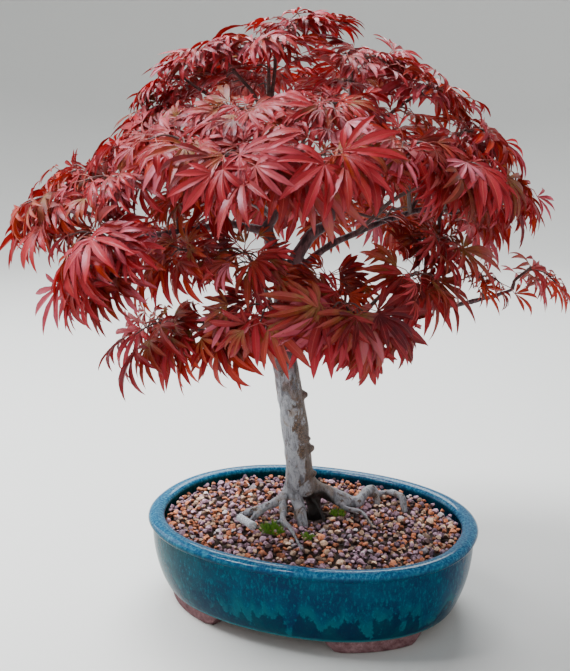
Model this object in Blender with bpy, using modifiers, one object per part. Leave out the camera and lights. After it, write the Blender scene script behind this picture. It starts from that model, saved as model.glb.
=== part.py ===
"""Japanese maple bonsai in an oval glazed pot. Metres, +Z up.

The origin is on the table under the middle of the crown, and the pot's long side runs along X.
The tree is one grown body of wood that carries a leaf spray at the end of each twig.
"""

import math

import bmesh
import bpy
from mathutils import Vector

# ---------- driving dimensions ----------
POT_LENGTH = 0.310            # over the rim
POT_WIDTH = 0.246             # over the rim
POT_HEIGHT = 0.083
OVAL_POWER = 2.2              # 2 is an ellipse, more is fuller at the corners
FOOT_HEIGHT = 0.012
WALL = 0.009
FLOOR = 0.008
RIM_WIDTH = 0.015
RIM_DEPTH = 0.009
LIP_OVERHANG = 0.004          # the rim stands this far out of the body
BASE_INSET = 0.017            # the body's lower edge, in from the rim's outer edge
BASE_CHAMFER = 0.002
FOOT_INSET = 0.021            # the feet's outer side at the table, in from the rim's outer edge
FOOT_WIDTH = 0.020
FOOT_BEARING = 47             # degrees round the oval from the long axis, on each corner
FOOT_SPAN = 38                # degrees, at the table
FOOT_FLARE = 6                # degrees that each end of a foot slopes out by, up to the pot
DRAIN_HOLE = 0.020            # diameter
DRAIN_SPACING = 0.130         # between the two holes

SCREEN_OPENING = 0.0054
SCREEN_BAR = 0.0026
SCREEN_THICKNESS = 0.0010
SCREEN_ROWS = 3
CLIP_WIRE = 0.0012            # diameter
CLIP_TOE = 0.008              # how far a clip's leg bends out under the floor
CLIP_ROOM = 0.0014            # between a clip's leg and the side of its drain hole

DRAINAGE_DEPTH = 0.012
DRESSING_DEPTH = 0.008
SOIL_BELOW_RIM = 0.007

TREE_HEIGHT = 0.530           # from the table
CROWN_LENGTH = 0.460          # along X
CROWN_WIDTH = 0.420           # along Y
TRUNK_BASE = 0.0135           # radii
TRUNK_TOP = 0.0085
TWIG = 0.0015
LEAF_THICKNESS = 0.0012
LEAF_DROOP = 0.42             # fall of a lobe along its length
LEAF_LEAN = 0.38              # extra fall on the side away from the trunk
LOBES = 6
NECK = 0.014                  # the twig's last bend, in from the middle of its spray
LOBE_FAN = math.radians(290)  # the side towards the twig stays open

TOUCH = 0.0003                # gap between touching pieces
ROOT_CLEARANCE = 0.0009       # room round a root in the soil
LEAF_CLEARANCE = 0.0035       # room that a spray keeps to its neighbours and to wood
OVAL_SIDES = 64
RIM_STEPS = 11
FOOT_STEPS = 9

# ---------- where things stand ----------
POT_CENTRE = Vector((0.017, 0.004, 0.0))
TREE_FOOT = POT_CENTRE + Vector((-0.010, 0.0, 0.0))
SOIL_TOP = POT_HEIGHT - SOIL_BELOW_RIM
FLOOR_TOP = FOOT_HEIGHT + FLOOR
SCREEN_SIZE = SCREEN_ROWS * SCREEN_OPENING + (SCREEN_ROWS + 1) * SCREEN_BAR
SCREEN_PITCH = SCREEN_OPENING + SCREEN_BAR
DRAIN_PLACES = {
    "left": POT_CENTRE - Vector((DRAIN_SPACING / 2, 0, 0)),
    "right": POT_CENTRE + Vector((DRAIN_SPACING / 2, 0, 0)),
}

# Routes in the crown, as shares of its half length, its half width and its height over the soil.
TRUNK = [(0.02, 0.06, 0.035), (0.02, 0.04, 0.06), (0.02, 0.01, 0.15), (0.00, -0.01, 0.25),
         (-0.02, -0.03, 0.33), (-0.03, -0.03, 0.38), (-0.02, -0.03, 0.44), (-0.02, -0.03, 0.51)]
BRANCHES = {  # name: (route, radius at the start, radius at the end)
    "left_leader": ([(-0.02, -0.03, 0.50), (-0.08, -0.05, 0.59), (-0.06, -0.04, 0.62),
                     (-0.03, -0.03, 0.66), (-0.04, -0.06, 0.74), (-0.06, -0.08, 0.80)],
                    0.0062, 0.0026),
    "right_leader": ([(-0.02, -0.03, 0.50), (0.06, 0.01, 0.58), (0.13, 0.04, 0.61),
                      (0.16, 0.06, 0.66), (0.21, 0.05, 0.72), (0.22, 0.04, 0.77)], 0.0066, 0.0028),
    "right_branch": ([(-0.02, -0.03, 0.49), (0.10, 0.03, 0.55), (0.23, 0.09, 0.59),
                      (0.42, 0.16, 0.63), (0.54, 0.16, 0.64)], 0.0042, 0.0022),
    "left_branch": ([(-0.08, -0.05, 0.59), (-0.18, -0.18, 0.61), (-0.33, -0.32, 0.60),
                     (-0.47, -0.42, 0.59)], 0.0044, 0.0022),
    "front_branch": ([(-0.03, -0.03, 0.66), (0.04, -0.17, 0.68), (0.13, -0.34, 0.69),
                      (0.20, -0.46, 0.69)], 0.0040, 0.0022),
    "back_branch": ([(0.13, 0.04, 0.61), (0.07, 0.20, 0.62), (-0.02, 0.38, 0.61),
                     (-0.08, 0.54, 0.61)], 0.0040, 0.0022),
    "back_left_branch": ([(-0.06, -0.04, 0.62), (-0.20, 0.08, 0.64), (-0.38, 0.15, 0.64),
                          (-0.54, 0.14, 0.62)], 0.0040, 0.0022),
    "low_left_branch": ([(-0.02, -0.03, 0.40), (-0.13, -0.15, 0.42), (-0.24, -0.28, 0.41)],
                        0.0036, 0.0022),
    "low_front_branch": ([(-0.02, -0.03, 0.39), (0.00, -0.18, 0.44), (0.05, -0.34, 0.46)],
                         0.0034, 0.0022),
    "low_right_branch": ([(-0.02, -0.03, 0.42), (0.12, -0.11, 0.46), (0.25, -0.19, 0.48),
                          (0.36, -0.24, 0.46)], 0.0040, 0.0022),
    "sprig_branch": ([(-0.02, -0.03, 0.41), (0.25, 0.09, 0.425), (0.44, 0.18, 0.435),
                      (0.56, 0.23, 0.448), (0.69, 0.29, 0.462), (0.79, 0.33, 0.48)], 0.0034, 0.0018),
}
SPRAYS = [  # name, branch, the point of its route that the twig grows from, place, spread
    ("leaves_top_centre", "left_leader", 5, (0.02, -0.03, 0.98), 0.048),
    ("leaves_top_front", "left_leader", 5, (-0.06, -0.17, 0.945), 0.048),
    ("leaves_top_left", "left_leader", 5, (-0.25, -0.19, 0.93), 0.052),
    ("leaves_top_right", "right_leader", 5, (0.28, 0.01, 0.92), 0.052),
    ("leaves_top_back_left", "left_leader", 4, (-0.25, 0.30, 0.91), 0.052),
    ("leaves_top_back_right", "right_leader", 4, (0.08, 0.44, 0.91), 0.052),
    ("leaves_upper_left", "left_leader", 4, (-0.39, -0.15, 0.885), 0.052),
    ("leaves_upper_left_tip", "back_left_branch", 1, (-0.51, -0.05, 0.83), 0.046),
    ("leaves_upper_left_edge", "left_branch", 2, (-0.38, -0.43, 0.79), 0.050),
    ("leaves_upper_left_back", "back_left_branch", 2, (-0.63, 0.21, 0.76), 0.052),
    ("leaves_upper_front_left", "left_leader", 3, (0.03, -0.52, 0.83), 0.055),
    ("leaves_upper_front_right", "front_branch", 1, (0.27, -0.40, 0.84), 0.052),
    ("leaves_upper_right", "right_leader", 4, (0.48, 0.15, 0.87), 0.052),
    ("leaves_upper_right_edge", "right_branch", 3, (0.64, 0.12, 0.79), 0.050),
    ("leaves_front_left", "front_branch", 2, (-0.15, -0.64, 0.78), 0.052),
    ("leaves_front_centre", "front_branch", 3, (0.10, -0.72, 0.76), 0.050),
    ("leaves_front_right", "front_branch", 3, (0.34, -0.63, 0.76), 0.052),
    ("leaves_front_right_edge", "right_branch", 3, (0.52, -0.33, 0.77), 0.052),
    ("leaves_right_shoulder", "right_branch", 2, (0.68, -0.19, 0.74), 0.048),
    ("leaves_left_shoulder", "left_branch", 3, (-0.41, -0.64, 0.71), 0.050),
    ("leaves_left_tip", "left_branch", 3, (-0.67, -0.58, 0.67), 0.055),
    ("leaves_left_front", "left_branch", 3, (-0.43, -0.74, 0.62), 0.050),
    ("leaves_left_low", "left_branch", 3, (-0.48, -0.62, 0.55), 0.050),
    ("leaves_left_back", "back_left_branch", 3, (-0.80, -0.18, 0.71), 0.048),
    ("leaves_left_inner", "left_branch", 1, (-0.19, -0.42, 0.69), 0.045),
    ("leaves_left_inner_low", "left_branch", 1, (-0.20, -0.55, 0.59), 0.048),
    ("leaves_centre_low", "low_front_branch", 1, (0.03, -0.54, 0.59), 0.045),
    ("leaves_low_front", "low_front_branch", 2, (0.11, -0.52, 0.50), 0.050),
    ("leaves_low_left", "low_left_branch", 2, (-0.32, -0.41, 0.44), 0.052),
    ("leaves_low_left_inner", "low_left_branch", 1, (-0.16, -0.43, 0.45), 0.045),
    ("leaves_low_right_front", "low_right_branch", 3, (0.37, -0.48, 0.51), 0.050),
    ("leaves_low_right_drop", "low_right_branch", 3, (0.41, -0.30, 0.465), 0.052),
    ("leaves_low_right_edge", "low_right_branch", 3, (0.51, -0.17, 0.54), 0.050),
    ("leaves_low_right_inner", "low_right_branch", 1, (0.21, -0.21, 0.53), 0.040),
    ("leaves_right_low", "right_branch", 4, (0.56, -0.01, 0.60), 0.042),
    ("leaves_right_middle", "right_branch", 4, (0.68, -0.03, 0.712), 0.048),
    ("leaves_right_tip", "right_branch", 4, (0.70, 0.33, 0.69), 0.050),
    ("leaves_right_back", "right_branch", 3, (0.47, 0.51, 0.76), 0.052),
    ("leaves_right_back_low", "right_branch", 3, (0.53, 0.59, 0.64), 0.048),
    ("leaves_sprig_near", "sprig_branch", 4, (0.69, 0.20, 0.52), 0.030),
    ("leaves_sprig_tip", "sprig_branch", 5, (0.85, 0.38, 0.525), 0.036),
    ("leaves_back_left", "back_left_branch", 2, (-0.48, 0.50, 0.69), 0.055),
    ("leaves_back_centre", "back_branch", 3, (-0.12, 0.73, 0.72), 0.055),
    ("leaves_back_right", "back_branch", 2, (0.21, 0.73, 0.71), 0.055),
    ("leaves_back_low_left", "back_left_branch", 3, (-0.67, 0.27, 0.57), 0.052),
    ("leaves_back_low_right", "back_branch", 2, (0.23, 0.61, 0.62), 0.050),
    ("leaves_back_low", "back_branch", 3, (-0.20, 0.62, 0.63), 0.050),
]

# Surface roots, in metres from the tree's foot at the soil's surface. They spread with the pot.
ROOT_SPREAD = POT_WIDTH / 0.246
ROOTS = {  # name: (route, radius at the start, radius at the end)
    "root_crown": ([(-0.003, 0.008, 0.034), (0.002, 0.020, 0.012), (0.005, 0.024, -0.020)],
                   0.0125, 0.0090),
    "root_left": ([(-0.012, 0.008, 0.030), (-0.018, -0.001, 0.016), (-0.032, -0.010, 0.008),
                   (-0.042, -0.016, 0.005), (-0.057, -0.013, -0.003)], 0.0068, 0.0028),
    "root_left_prong": ([(-0.030, -0.009, 0.009), (-0.036, -0.020, 0.003), (-0.041, -0.026, -0.004)],
                        0.0034, 0.0024),
    "root_front_left": ([(-0.017, 0.000, 0.018), (-0.012, -0.014, 0.008), (-0.007, -0.025, 0.004),
                         (0.004, -0.033, 0.001), (0.026, -0.060, -0.004)], 0.0046, 0.0014),
    "root_centre": ([(-0.006, 0.004, 0.032), (-0.004, -0.001, 0.018), (0.003, -0.007, 0.008),
                     (0.008, -0.011, -0.006)], 0.0070, 0.0052),
    "root_right": ([(-0.002, 0.012, 0.026), (0.012, 0.031, 0.016), (0.029, 0.035, 0.009),
                    (0.042, 0.040, 0.006), (0.046, 0.058, 0.011), (0.051, 0.066, 0.010),
                    (0.058, 0.060, -0.006)], 0.0090, 0.0030),
    "root_right_link": ([(0.046, 0.058, 0.011), (0.050, 0.080, 0.000), (0.056, 0.096, -0.003),
                         (0.070, 0.076, 0.006), (0.080, 0.066, 0.006), (0.084, 0.060, -0.006)],
                        0.0038, 0.0030),
    "root_right_thin": ([(0.012, 0.030, 0.012), (0.023, 0.031, 0.008), (0.038, 0.025, 0.004),
                         (0.052, 0.025, 0.003), (0.069, 0.010, -0.004)], 0.0034, 0.0018),
    "rootlet_middle": ([(0.003, 0.016, 0.014), (0.012, 0.014, 0.007), (0.021, 0.008, -0.004)],
                       0.0016, 0.0011),
    "rootlet_left": ([(-0.008, -0.024, 0.004), (-0.018, -0.028, 0.001), (-0.030, -0.034, -0.003)],
                     0.0013, 0.0011),
}
STUB_ENDS = ((-0.050, -0.028, 0.0015), (-0.029, -0.043, 0.0025))
STUB_RADIUS = 0.0042
MOSS = {  # name: (place from the tree's foot, length, width, height)
    "moss_clump_left": ((-0.012, -0.040, 0.0), 0.020, 0.015, 0.006),
    "moss_clump_front": ((0.024, -0.041, 0.0), 0.010, 0.008, 0.003),
    "moss_clump_right": ((0.030, 0.018, 0.0), 0.013, 0.009, 0.004),
}

MATERIALS = {  # name: (colour, roughness, metallic)
    "blue_glaze": ((0.016, 0.105, 0.155, 1), 0.15, 0.0),
    "black_plastic_mesh": ((0.02, 0.02, 0.02, 1), 0.50, 0.0),
    "aluminium_wire": ((0.55, 0.53, 0.50, 1), 0.35, 1.0),
    "pumice": ((0.48, 0.42, 0.34, 1), 0.90, 0.0),
    "bonsai_soil": ((0.10, 0.06, 0.04, 1), 0.95, 0.0),
    "lava_grit": ((0.27, 0.15, 0.12, 1), 0.85, 0.0),
    "maple_bark": ((0.33, 0.28, 0.26, 1), 0.80, 0.0),
    "cut_root": ((0.60, 0.58, 0.52, 1), 0.70, 0.0),
    "moss": ((0.08, 0.20, 0.03, 1), 0.90, 0.0),
    "red_maple_leaf": ((0.42, 0.04, 0.05, 1), 0.50, 0.0),
}


# ---------- scene and object helpers ----------
def clear_scene():
    for old in list(bpy.data.objects):
        bpy.data.objects.remove(old, do_unlink=True)


def new_collection(name):
    group = bpy.data.collections.new(name)
    bpy.context.scene.collection.children.link(group)
    return group


def make_material(name):
    colour, roughness, metallic = MATERIALS[name]
    material = bpy.data.materials.new(name)
    material.use_nodes = True
    shader = material.node_tree.nodes["Principled BSDF"]
    shader.inputs["Base Color"].default_value = colour
    shader.inputs["Roughness"].default_value = roughness
    shader.inputs["Metallic"].default_value = metallic
    return material


def add_object(name, mesh, group, material=None):
    piece = bpy.data.objects.new(name, mesh)
    group.objects.link(piece)
    if material:
        mesh.materials.append(material)
    return piece


def mesh_from(bm, name):
    bmesh.ops.recalc_face_normals(bm, faces=bm.faces)
    mesh = bpy.data.meshes.new(name)
    bm.to_mesh(mesh)
    bm.free()
    mesh.shade_smooth()
    mesh.set_sharp_from_angle(angle=math.radians(40))
    return mesh


def hide_cutter(piece):
    piece.hide_render = True
    piece.display_type = "WIRE"
    return piece


def boolean(piece, operation, cutter=None, group=None):
    step = piece.modifiers.new(operation.lower(), "BOOLEAN")
    step.operation = operation
    step.solver = "EXACT"
    if group:
        step.operand_type = "COLLECTION"
        step.collection = group
    else:
        step.object = cutter


# ---------- oval shapes ----------
def oval_point(angle, inset, height):
    """A point of an oval section, a set distance in from the rim's outer edge."""
    bend = 2 / OVAL_POWER
    along = math.copysign(abs(math.cos(angle)) ** bend, math.cos(angle))
    across = math.copysign(abs(math.sin(angle)) ** bend, math.sin(angle))
    return (POT_LENGTH / 2 - inset) * along, (POT_WIDTH / 2 - inset) * across, height


def loft(name, rings):
    """A closed body through rings of as many points each, with flat ends."""
    bm = bmesh.new()
    rings = [[bm.verts.new(point) for point in ring] for ring in rings]
    for lower, upper in zip(rings, rings[1:]):
        for side in range(len(lower)):
            after = (side + 1) % len(lower)
            bm.faces.new((lower[side], lower[after], upper[after], upper[side]))
    bm.faces.new(rings[0])
    bm.faces.new(rings[-1])
    return mesh_from(bm, name)


def oval_loft(name, sections):
    """A closed body through oval sections, each an (inset, height)."""
    angles = [2 * math.pi * (side + 0.5) / OVAL_SIDES for side in range(OVAL_SIDES)]
    return loft(name, [[oval_point(angle, *section) for angle in angles] for section in sections])


def body_inset(height):
    """The body's outer side: steep under the rim, and curving in towards its lower edge."""
    neck = POT_HEIGHT - RIM_DEPTH
    share = (height - FOOT_HEIGHT) / (neck - FOOT_HEIGHT)
    return LIP_OVERHANG + (BASE_INSET - LIP_OVERHANG) * (1 - min(share, 1)) ** 2.5


def rim_sections():
    """A round roll, from under its lip over to its inner edge."""
    sections = []
    for turn in taper(-math.pi / 4, math.pi, RIM_STEPS):
        inset = RIM_WIDTH / 2 * (1 - math.cos(turn))
        sections.append((inset, POT_HEIGHT - 0.55 * RIM_DEPTH * (1 - math.sin(turn))))
    return sections


def pot_sections():
    neck = POT_HEIGHT - RIM_DEPTH
    outside = [FOOT_HEIGHT + (neck - FOOT_HEIGHT) * share for share in (0, 0.08, 0.2, 0.36, 0.6, 1)]
    inside = [neck - (neck - FLOOR_TOP - WALL) * share for share in (0, 0.35, 0.7, 1)]
    sections = [(BASE_INSET + BASE_CHAMFER, FOOT_HEIGHT)]
    sections += [(body_inset(height), height + 0.0008) for height in outside]
    sections += rim_sections()
    sections += [(body_inset(height) + WALL, height) for height in inside]
    sections += [(body_inset(FLOOR_TOP) + 1.35 * WALL, FLOOR_TOP + 0.3 * WALL)]
    sections += [(body_inset(FLOOR_TOP) + 2 * WALL, FLOOR_TOP)]
    return sections


def foot_mesh(bearing):
    """A curved foot under the oval. Its outer side and its ends slope in down to the table."""
    top = FOOT_HEIGHT + FLOOR / 3
    rings = []
    for share in taper(-0.5, 0.5, FOOT_STEPS):
        low = math.radians(bearing + share * FOOT_SPAN)
        high = math.radians(bearing + share * (FOOT_SPAN + 2 * FOOT_FLARE))
        rings.append([oval_point(low, FOOT_INSET, 0), oval_point(low, FOOT_INSET + FOOT_WIDTH, 0),
                      oval_point(high, FOOT_INSET + FOOT_WIDTH, top),
                      oval_point(high, BASE_INSET + BASE_CHAMFER, top)])
    return loft("foot", rings)


def mesh_of_curve(name, curve):
    """The curve's evaluated mesh, with its loose caps welded on."""
    holder = bpy.data.objects.new(name, curve)
    bpy.context.scene.collection.objects.link(holder)
    evaluated = holder.evaluated_get(bpy.context.evaluated_depsgraph_get())
    mesh = bpy.data.meshes.new_from_object(evaluated)
    bpy.data.objects.remove(holder, do_unlink=True)
    bpy.data.curves.remove(curve)
    bm = bmesh.new()
    bm.from_mesh(mesh)
    bpy.data.meshes.remove(mesh)
    bmesh.ops.remove_doubles(bm, verts=bm.verts, dist=0.00001)
    return mesh_from(bm, name)


# ---------- tubes ----------
def smooth_route(points, steps):
    """A smooth curve through a route's own points."""
    points = [Vector(point) for point in points]
    ends = [2 * points[0] - points[1]] + points + [2 * points[-1] - points[-2]]
    route = []
    for before, start, stop, after in zip(ends, ends[1:], ends[2:], ends[3:]):
        for step in range(steps):
            t = step / steps
            route.append(0.5 * (2 * start + (stop - before) * t
                                + (2 * before - 5 * start + 4 * stop - after) * t * t
                                + (3 * start - before - 3 * stop + after) * t ** 3))
    return route + [points[-1]]


def taper(start, end, count):
    return [start + (end - start) * step / (count - 1) for step in range(count)]


def tube_mesh(name, route, radii, rounding):
    curve = bpy.data.curves.new(name, "CURVE")
    curve.dimensions = "3D"
    curve.bevel_depth = 1
    curve.bevel_resolution = rounding
    curve.use_fill_caps = True
    spline = curve.splines.new("POLY")
    spline.points.add(len(route) - 1)
    for point, place, radius in zip(spline.points, route, radii):
        point.co = (*place, 1)
        point.radius = radius
    return mesh_of_curve(name, curve)


# ---------- pot and what is in it ----------
def cylinder_mesh(name, radius, bottom, top, sides=24):
    bm = bmesh.new()
    bmesh.ops.create_cone(bm, cap_ends=True, segments=sides, radius1=radius, radius2=radius,
                          depth=top - bottom)
    bmesh.ops.translate(bm, verts=bm.verts, vec=(0, 0, (top + bottom) / 2))
    return mesh_from(bm, name)


def box_mesh(name, length, width, bottom, top):
    bm = bmesh.new()
    bmesh.ops.create_cube(bm, size=1)
    bmesh.ops.scale(bm, verts=bm.verts, vec=(length, width, top - bottom))
    bmesh.ops.translate(bm, verts=bm.verts, vec=(0, 0, (top + bottom) / 2))
    return mesh_from(bm, name)


def make_pot(parts, cutters):
    pot = add_object("pot", oval_loft("pot", pot_sections()), parts, make_material("blue_glaze"))
    pot.location = POT_CENTRE
    feet = new_collection("feet")
    for bearing in (FOOT_BEARING, 180 - FOOT_BEARING, 180 + FOOT_BEARING, -FOOT_BEARING):
        foot = hide_cutter(add_object("foot_%d" % (bearing % 360), foot_mesh(bearing), feet))
        foot.location = POT_CENTRE
    boolean(pot, "UNION", group=feet)
    for side, place in DRAIN_PLACES.items():
        mesh = cylinder_mesh("drain_hole", DRAIN_HOLE / 2, 0, FLOOR_TOP + FLOOR)
        hole = hide_cutter(add_object("drain_hole_" + side, mesh, cutters))
        hole.location = place
        boolean(pot, "DIFFERENCE", cutter=hole)


def make_screens(parts, cutters):
    """A square of plastic mesh over each drain hole."""
    plastic = make_material("black_plastic_mesh")
    bottom = FLOOR_TOP + TOUCH
    for side, place in DRAIN_PLACES.items():
        mesh = box_mesh("screen", SCREEN_SIZE, SCREEN_SIZE, bottom, bottom + SCREEN_THICKNESS)
        screen = add_object("drainage_screen_" + side, mesh, parts, plastic)
        screen.location = place
        for row in range(SCREEN_ROWS):
            for column in range(SCREEN_ROWS):
                mesh = box_mesh("opening", SCREEN_OPENING, SCREEN_OPENING,
                                bottom - FLOOR, bottom + FLOOR)
                name = "screen_opening_%s_%d_%d" % (side, row, column)
                opening = hide_cutter(add_object(name, mesh, cutters))
                middle = (SCREEN_ROWS - 1) / 2
                opening.location = place + SCREEN_PITCH * Vector((column - middle, row - middle, 0))
                boolean(screen, "DIFFERENCE", cutter=opening)


def clip_top():
    return FLOOR_TOP + SCREEN_THICKNESS + 2 * TOUCH + CLIP_WIRE


def make_clips(parts):
    """A bent wire through each screen, its legs turned out under the pot's floor."""
    wire = make_material("aluminium_wire")
    bridge = clip_top() - CLIP_WIRE / 2
    toe = FOOT_HEIGHT - TOUCH - CLIP_WIRE / 2
    leg = DRAIN_HOLE / 2 - CLIP_ROOM - CLIP_WIRE / 2
    for side, place in DRAIN_PLACES.items():
        half = [(0, bridge), (leg, bridge), (leg, toe), (leg + CLIP_TOE, toe)]
        route = [Vector((-x, 0, z)) for x, z in reversed(half)] + [Vector((x, 0, z)) for x, z in half[1:]]
        mesh = tube_mesh("clip", route, [CLIP_WIRE / 2] * len(route), 2)
        add_object("screen_clip_" + side, mesh, parts, wire).location = place


def inner_sections(bottom, top, steps):
    """Sections of a filling between two heights, clear of the pot's wall."""
    heights = taper(bottom, top, steps)
    return [(max(body_inset(height), body_inset(FLOOR_TOP + WALL - 0.2 * (height - FLOOR_TOP)))
             + WALL + TOUCH + bottom_corner(height), height) for height in heights]


def bottom_corner(height):
    """Extra inset near the floor, where the wall rounds into it."""
    share = min((height - FLOOR_TOP) / WALL, 1)
    return 1.05 * WALL * (1 - share)


def make_fillings(parts, cutters, root_room):
    """Pumice on the floor, soil over it, and a dressing of lava grit on top."""
    low = FLOOR_TOP + TOUCH
    drainage_top = FLOOR_TOP + DRAINAGE_DEPTH
    dressing_low = SOIL_TOP - DRESSING_DEPTH
    layers = [
        ("drainage_layer", "pumice", low, drainage_top, 5),
        ("soil_mix", "bonsai_soil", drainage_top + TOUCH, dressing_low - TOUCH, 4),
        ("grit_dressing", "lava_grit", dressing_low, SOIL_TOP, 2),
    ]
    for name, material, bottom, top, steps in layers:
        mesh = oval_loft(name, inner_sections(bottom, top, steps))
        layer = add_object(name, mesh, parts, make_material(material))
        layer.location = POT_CENTRE
        if name != "drainage_layer":
            boolean(layer, "DIFFERENCE", group=root_room)
            continue
        for side, place in DRAIN_PLACES.items():
            size = SCREEN_SIZE + 4 * TOUCH
            mesh = box_mesh("screen_room", size, size, FOOT_HEIGHT, clip_top() + 2 * TOUCH)
            room = hide_cutter(add_object("screen_room_" + side, mesh, cutters))
            room.location = place
            boolean(layer, "DIFFERENCE", cutter=room)


# ---------- tree ----------
def crown_point(shares):
    """A place in the crown from its shares of half length, half width and height."""
    along, across, up = shares
    height = TREE_HEIGHT - SOIL_TOP
    return Vector((along * CROWN_LENGTH / 2, across * CROWN_WIDTH / 2, SOIL_TOP + up * height))


def root_point(place):
    along, across, up = place
    return TREE_FOOT + Vector((along * ROOT_SPREAD, across * ROOT_SPREAD, SOIL_TOP + up))


def twig_route(branch, knot, place):
    """A twig from its branch up to just under the middle of its spray."""
    start = crown_point(BRANCHES[branch][0][knot])
    middle = crown_point(place)
    slope = LEAF_DROOP + LEAF_LEAN
    tip = middle - Vector((0, 0, TOUCH + LEAF_THICKNESS / 2 * math.hypot(1, slope) + slope * TWIG))
    inward = Vector((start.x - middle.x, start.y - middle.y, 0)).normalized()
    neck = tip + NECK * inward - Vector((0, 0, 0.75 * NECK))
    arch = start.lerp(neck, 0.5) + Vector((0, 0, 0.06 * (neck - start).length))
    return [start, arch, neck, tip]


def wood_routes():
    """Every stem and root as name: (route, radii, rounding)."""
    routes = {}
    trunk = smooth_route([crown_point(point) for point in TRUNK], 2)
    routes["trunk"] = (trunk, taper(TRUNK_BASE, TRUNK_TOP, len(trunk)), 4)
    for name, (points, start, end) in BRANCHES.items():
        route = smooth_route([crown_point(point) for point in points], 2)
        routes[name] = (route, taper(start, end, len(route)), 2)
    for name, (points, start, end) in ROOTS.items():
        route = smooth_route([root_point(point) for point in points], 2)
        routes[name] = (route, taper(start, end, len(route)), 2)
    for name, branch, knot, place, _ in SPRAYS:
        route = twig_route(branch, knot, place)
        routes["twig_to_" + name] = (route, taper(1.2 * TWIG, 0.8 * TWIG, len(route)), 1)
    return routes


def make_tree(parts, routes):
    pieces = new_collection("wood_pieces")
    bark = make_material("maple_bark")
    tree = None
    for name, (route, radii, rounding) in routes.items():
        mesh = tube_mesh(name, route, radii, rounding)
        if tree is None:
            tree = add_object("trunk_and_branches", mesh, parts, bark)
        else:
            hide_cutter(add_object(name, mesh, pieces))
    boolean(tree, "UNION", group=pieces)


def make_root_room(routes):
    """The space that the trunk's foot and the roots take in the soil, with clearance."""
    room = new_collection("root_room")
    for name in ROOTS:
        route, radii, rounding = routes[name]
        wider = [radius + ROOT_CLEARANCE for radius in radii]
        lead_in = route[0] + (route[0] - route[1]).normalized() * ROOT_CLEARANCE
        lead_out = route[-1] + (route[-1] - route[-2]).normalized() * ROOT_CLEARANCE
        mesh = tube_mesh(name + "_room", [lead_in] + route[1:-1] + [lead_out], wider, rounding)
        hide_cutter(add_object(name + "_room", mesh, room))
    mesh, place, turn = stub_mesh(TOUCH)
    stub = hide_cutter(add_object("stub_room", mesh, room))
    stub.location = place
    stub.rotation_euler = turn
    return room


def stub_mesh(extra):
    """The sawn root's cylinder, its middle and its lie."""
    start, end = (root_point(place) for place in STUB_ENDS)
    axis = end - start
    half = axis.length / 2 + extra
    mesh = cylinder_mesh("cut_root", STUB_RADIUS + extra, -half, half, 16)
    return mesh, (start + end) / 2, axis.to_track_quat("Z", "Y").to_euler()


def make_cut_root(parts):
    mesh, place, turn = stub_mesh(0)
    stub = add_object("cut_root_stub", mesh, parts, make_material("cut_root"))
    stub.location = place
    stub.rotation_euler = turn


def make_moss(parts, root_room):
    """Low domes of moss that lie on the grit."""
    green = make_material("moss")
    for name, (place, length, width, height) in MOSS.items():
        bm = bmesh.new()
        bmesh.ops.create_uvsphere(bm, u_segments=16, v_segments=8, radius=1)
        cut = bmesh.ops.bisect_plane(bm, geom=bm.verts[:] + bm.edges[:] + bm.faces[:], dist=0.0001,
                                     plane_co=(0, 0, 0), plane_no=(0, 0, -1), clear_outer=True)
        rim = [edge for edge in cut["geom_cut"] if isinstance(edge, bmesh.types.BMEdge)]
        bmesh.ops.contextual_create(bm, geom=rim)
        bmesh.ops.scale(bm, verts=bm.verts, vec=(length / 2, width / 2, height))
        clump = add_object(name, mesh_from(bm, name), parts, green)
        clump.location = root_point(place) + Vector((0, 0, TOUCH))
        boolean(clump, "DIFFERENCE", group=root_room)


# ---------- leaves ----------
def wood_near(centre, spread, routes, own):
    """Places along the wood near a spray, with the radius there, but for its own twig."""
    near = []
    for name, (route, radii, _) in routes.items():
        if name == own:
            continue
        for start, stop, radius in zip(route, route[1:], radii):
            steps = max(1, math.ceil((stop - start).length / 0.004))
            for step in range(steps + 1):
                place = start.lerp(stop, step / steps)
                if (place - centre).length < 1.3 * spread:
                    near.append((place, radius))
    return near


def lobe_reach(centre, direction, spread, neighbours, wood):
    """How far a lobe runs before the midplane to another spray, or before wood."""
    limits = [(place, (place - centre).length / 2) for place in neighbours]
    limits += [(place, (place - centre).length - radius) for place, radius in wood]
    reach = spread
    for place, room in limits:
        facing = direction.dot((place - centre).normalized())
        if facing > 0:
            reach = min(reach, (room - LEAF_CLEARANCE) / facing)
    return max(reach, 0.30 * spread)


def spray_mesh(name, centre, heading, spread, neighbours, wood):
    """Drooping lobes round a twig's tip, as an open fan that Solidify makes thick."""
    lobe_angle = LOBE_FAN / LOBES
    rim = []
    for lobe in range(LOBES):
        angle = heading - LOBE_FAN / 2 + (lobe + 0.5) * lobe_angle
        fall = LEAF_DROOP + LEAF_LEAN * math.cos(angle - heading)
        slope = Vector((math.cos(angle), math.sin(angle), -fall))
        flat = 1 / slope.length
        reach = flat * lobe_reach(centre, slope.normalized(), spread / flat, neighbours, wood)
        for share, turn in ((0.22, -0.5), (0.55, -0.26), (1.0, 0), (0.55, 0.26)):
            away = share * (spread if turn == -0.5 else reach)
            side = angle + turn * lobe_angle
            rim.append(Vector((away * math.cos(side), away * math.sin(side), -fall * away)))
    side = heading + LOBE_FAN / 2
    rim.append(Vector((math.cos(side), math.sin(side), -LEAF_DROOP)) * 0.22 * spread)
    bm = bmesh.new()
    bmesh.ops.create_circle(bm, cap_ends=True, cap_tris=True, segments=len(rim), radius=1)
    edge = [vert for vert in bm.verts if vert.co.length > 0.5]
    edge.sort(key=lambda vert: math.atan2(vert.co.y, vert.co.x) % (2 * math.pi))
    for vert, place in zip(edge, rim):
        vert.co = place
    return mesh_from(bm, name)


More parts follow.
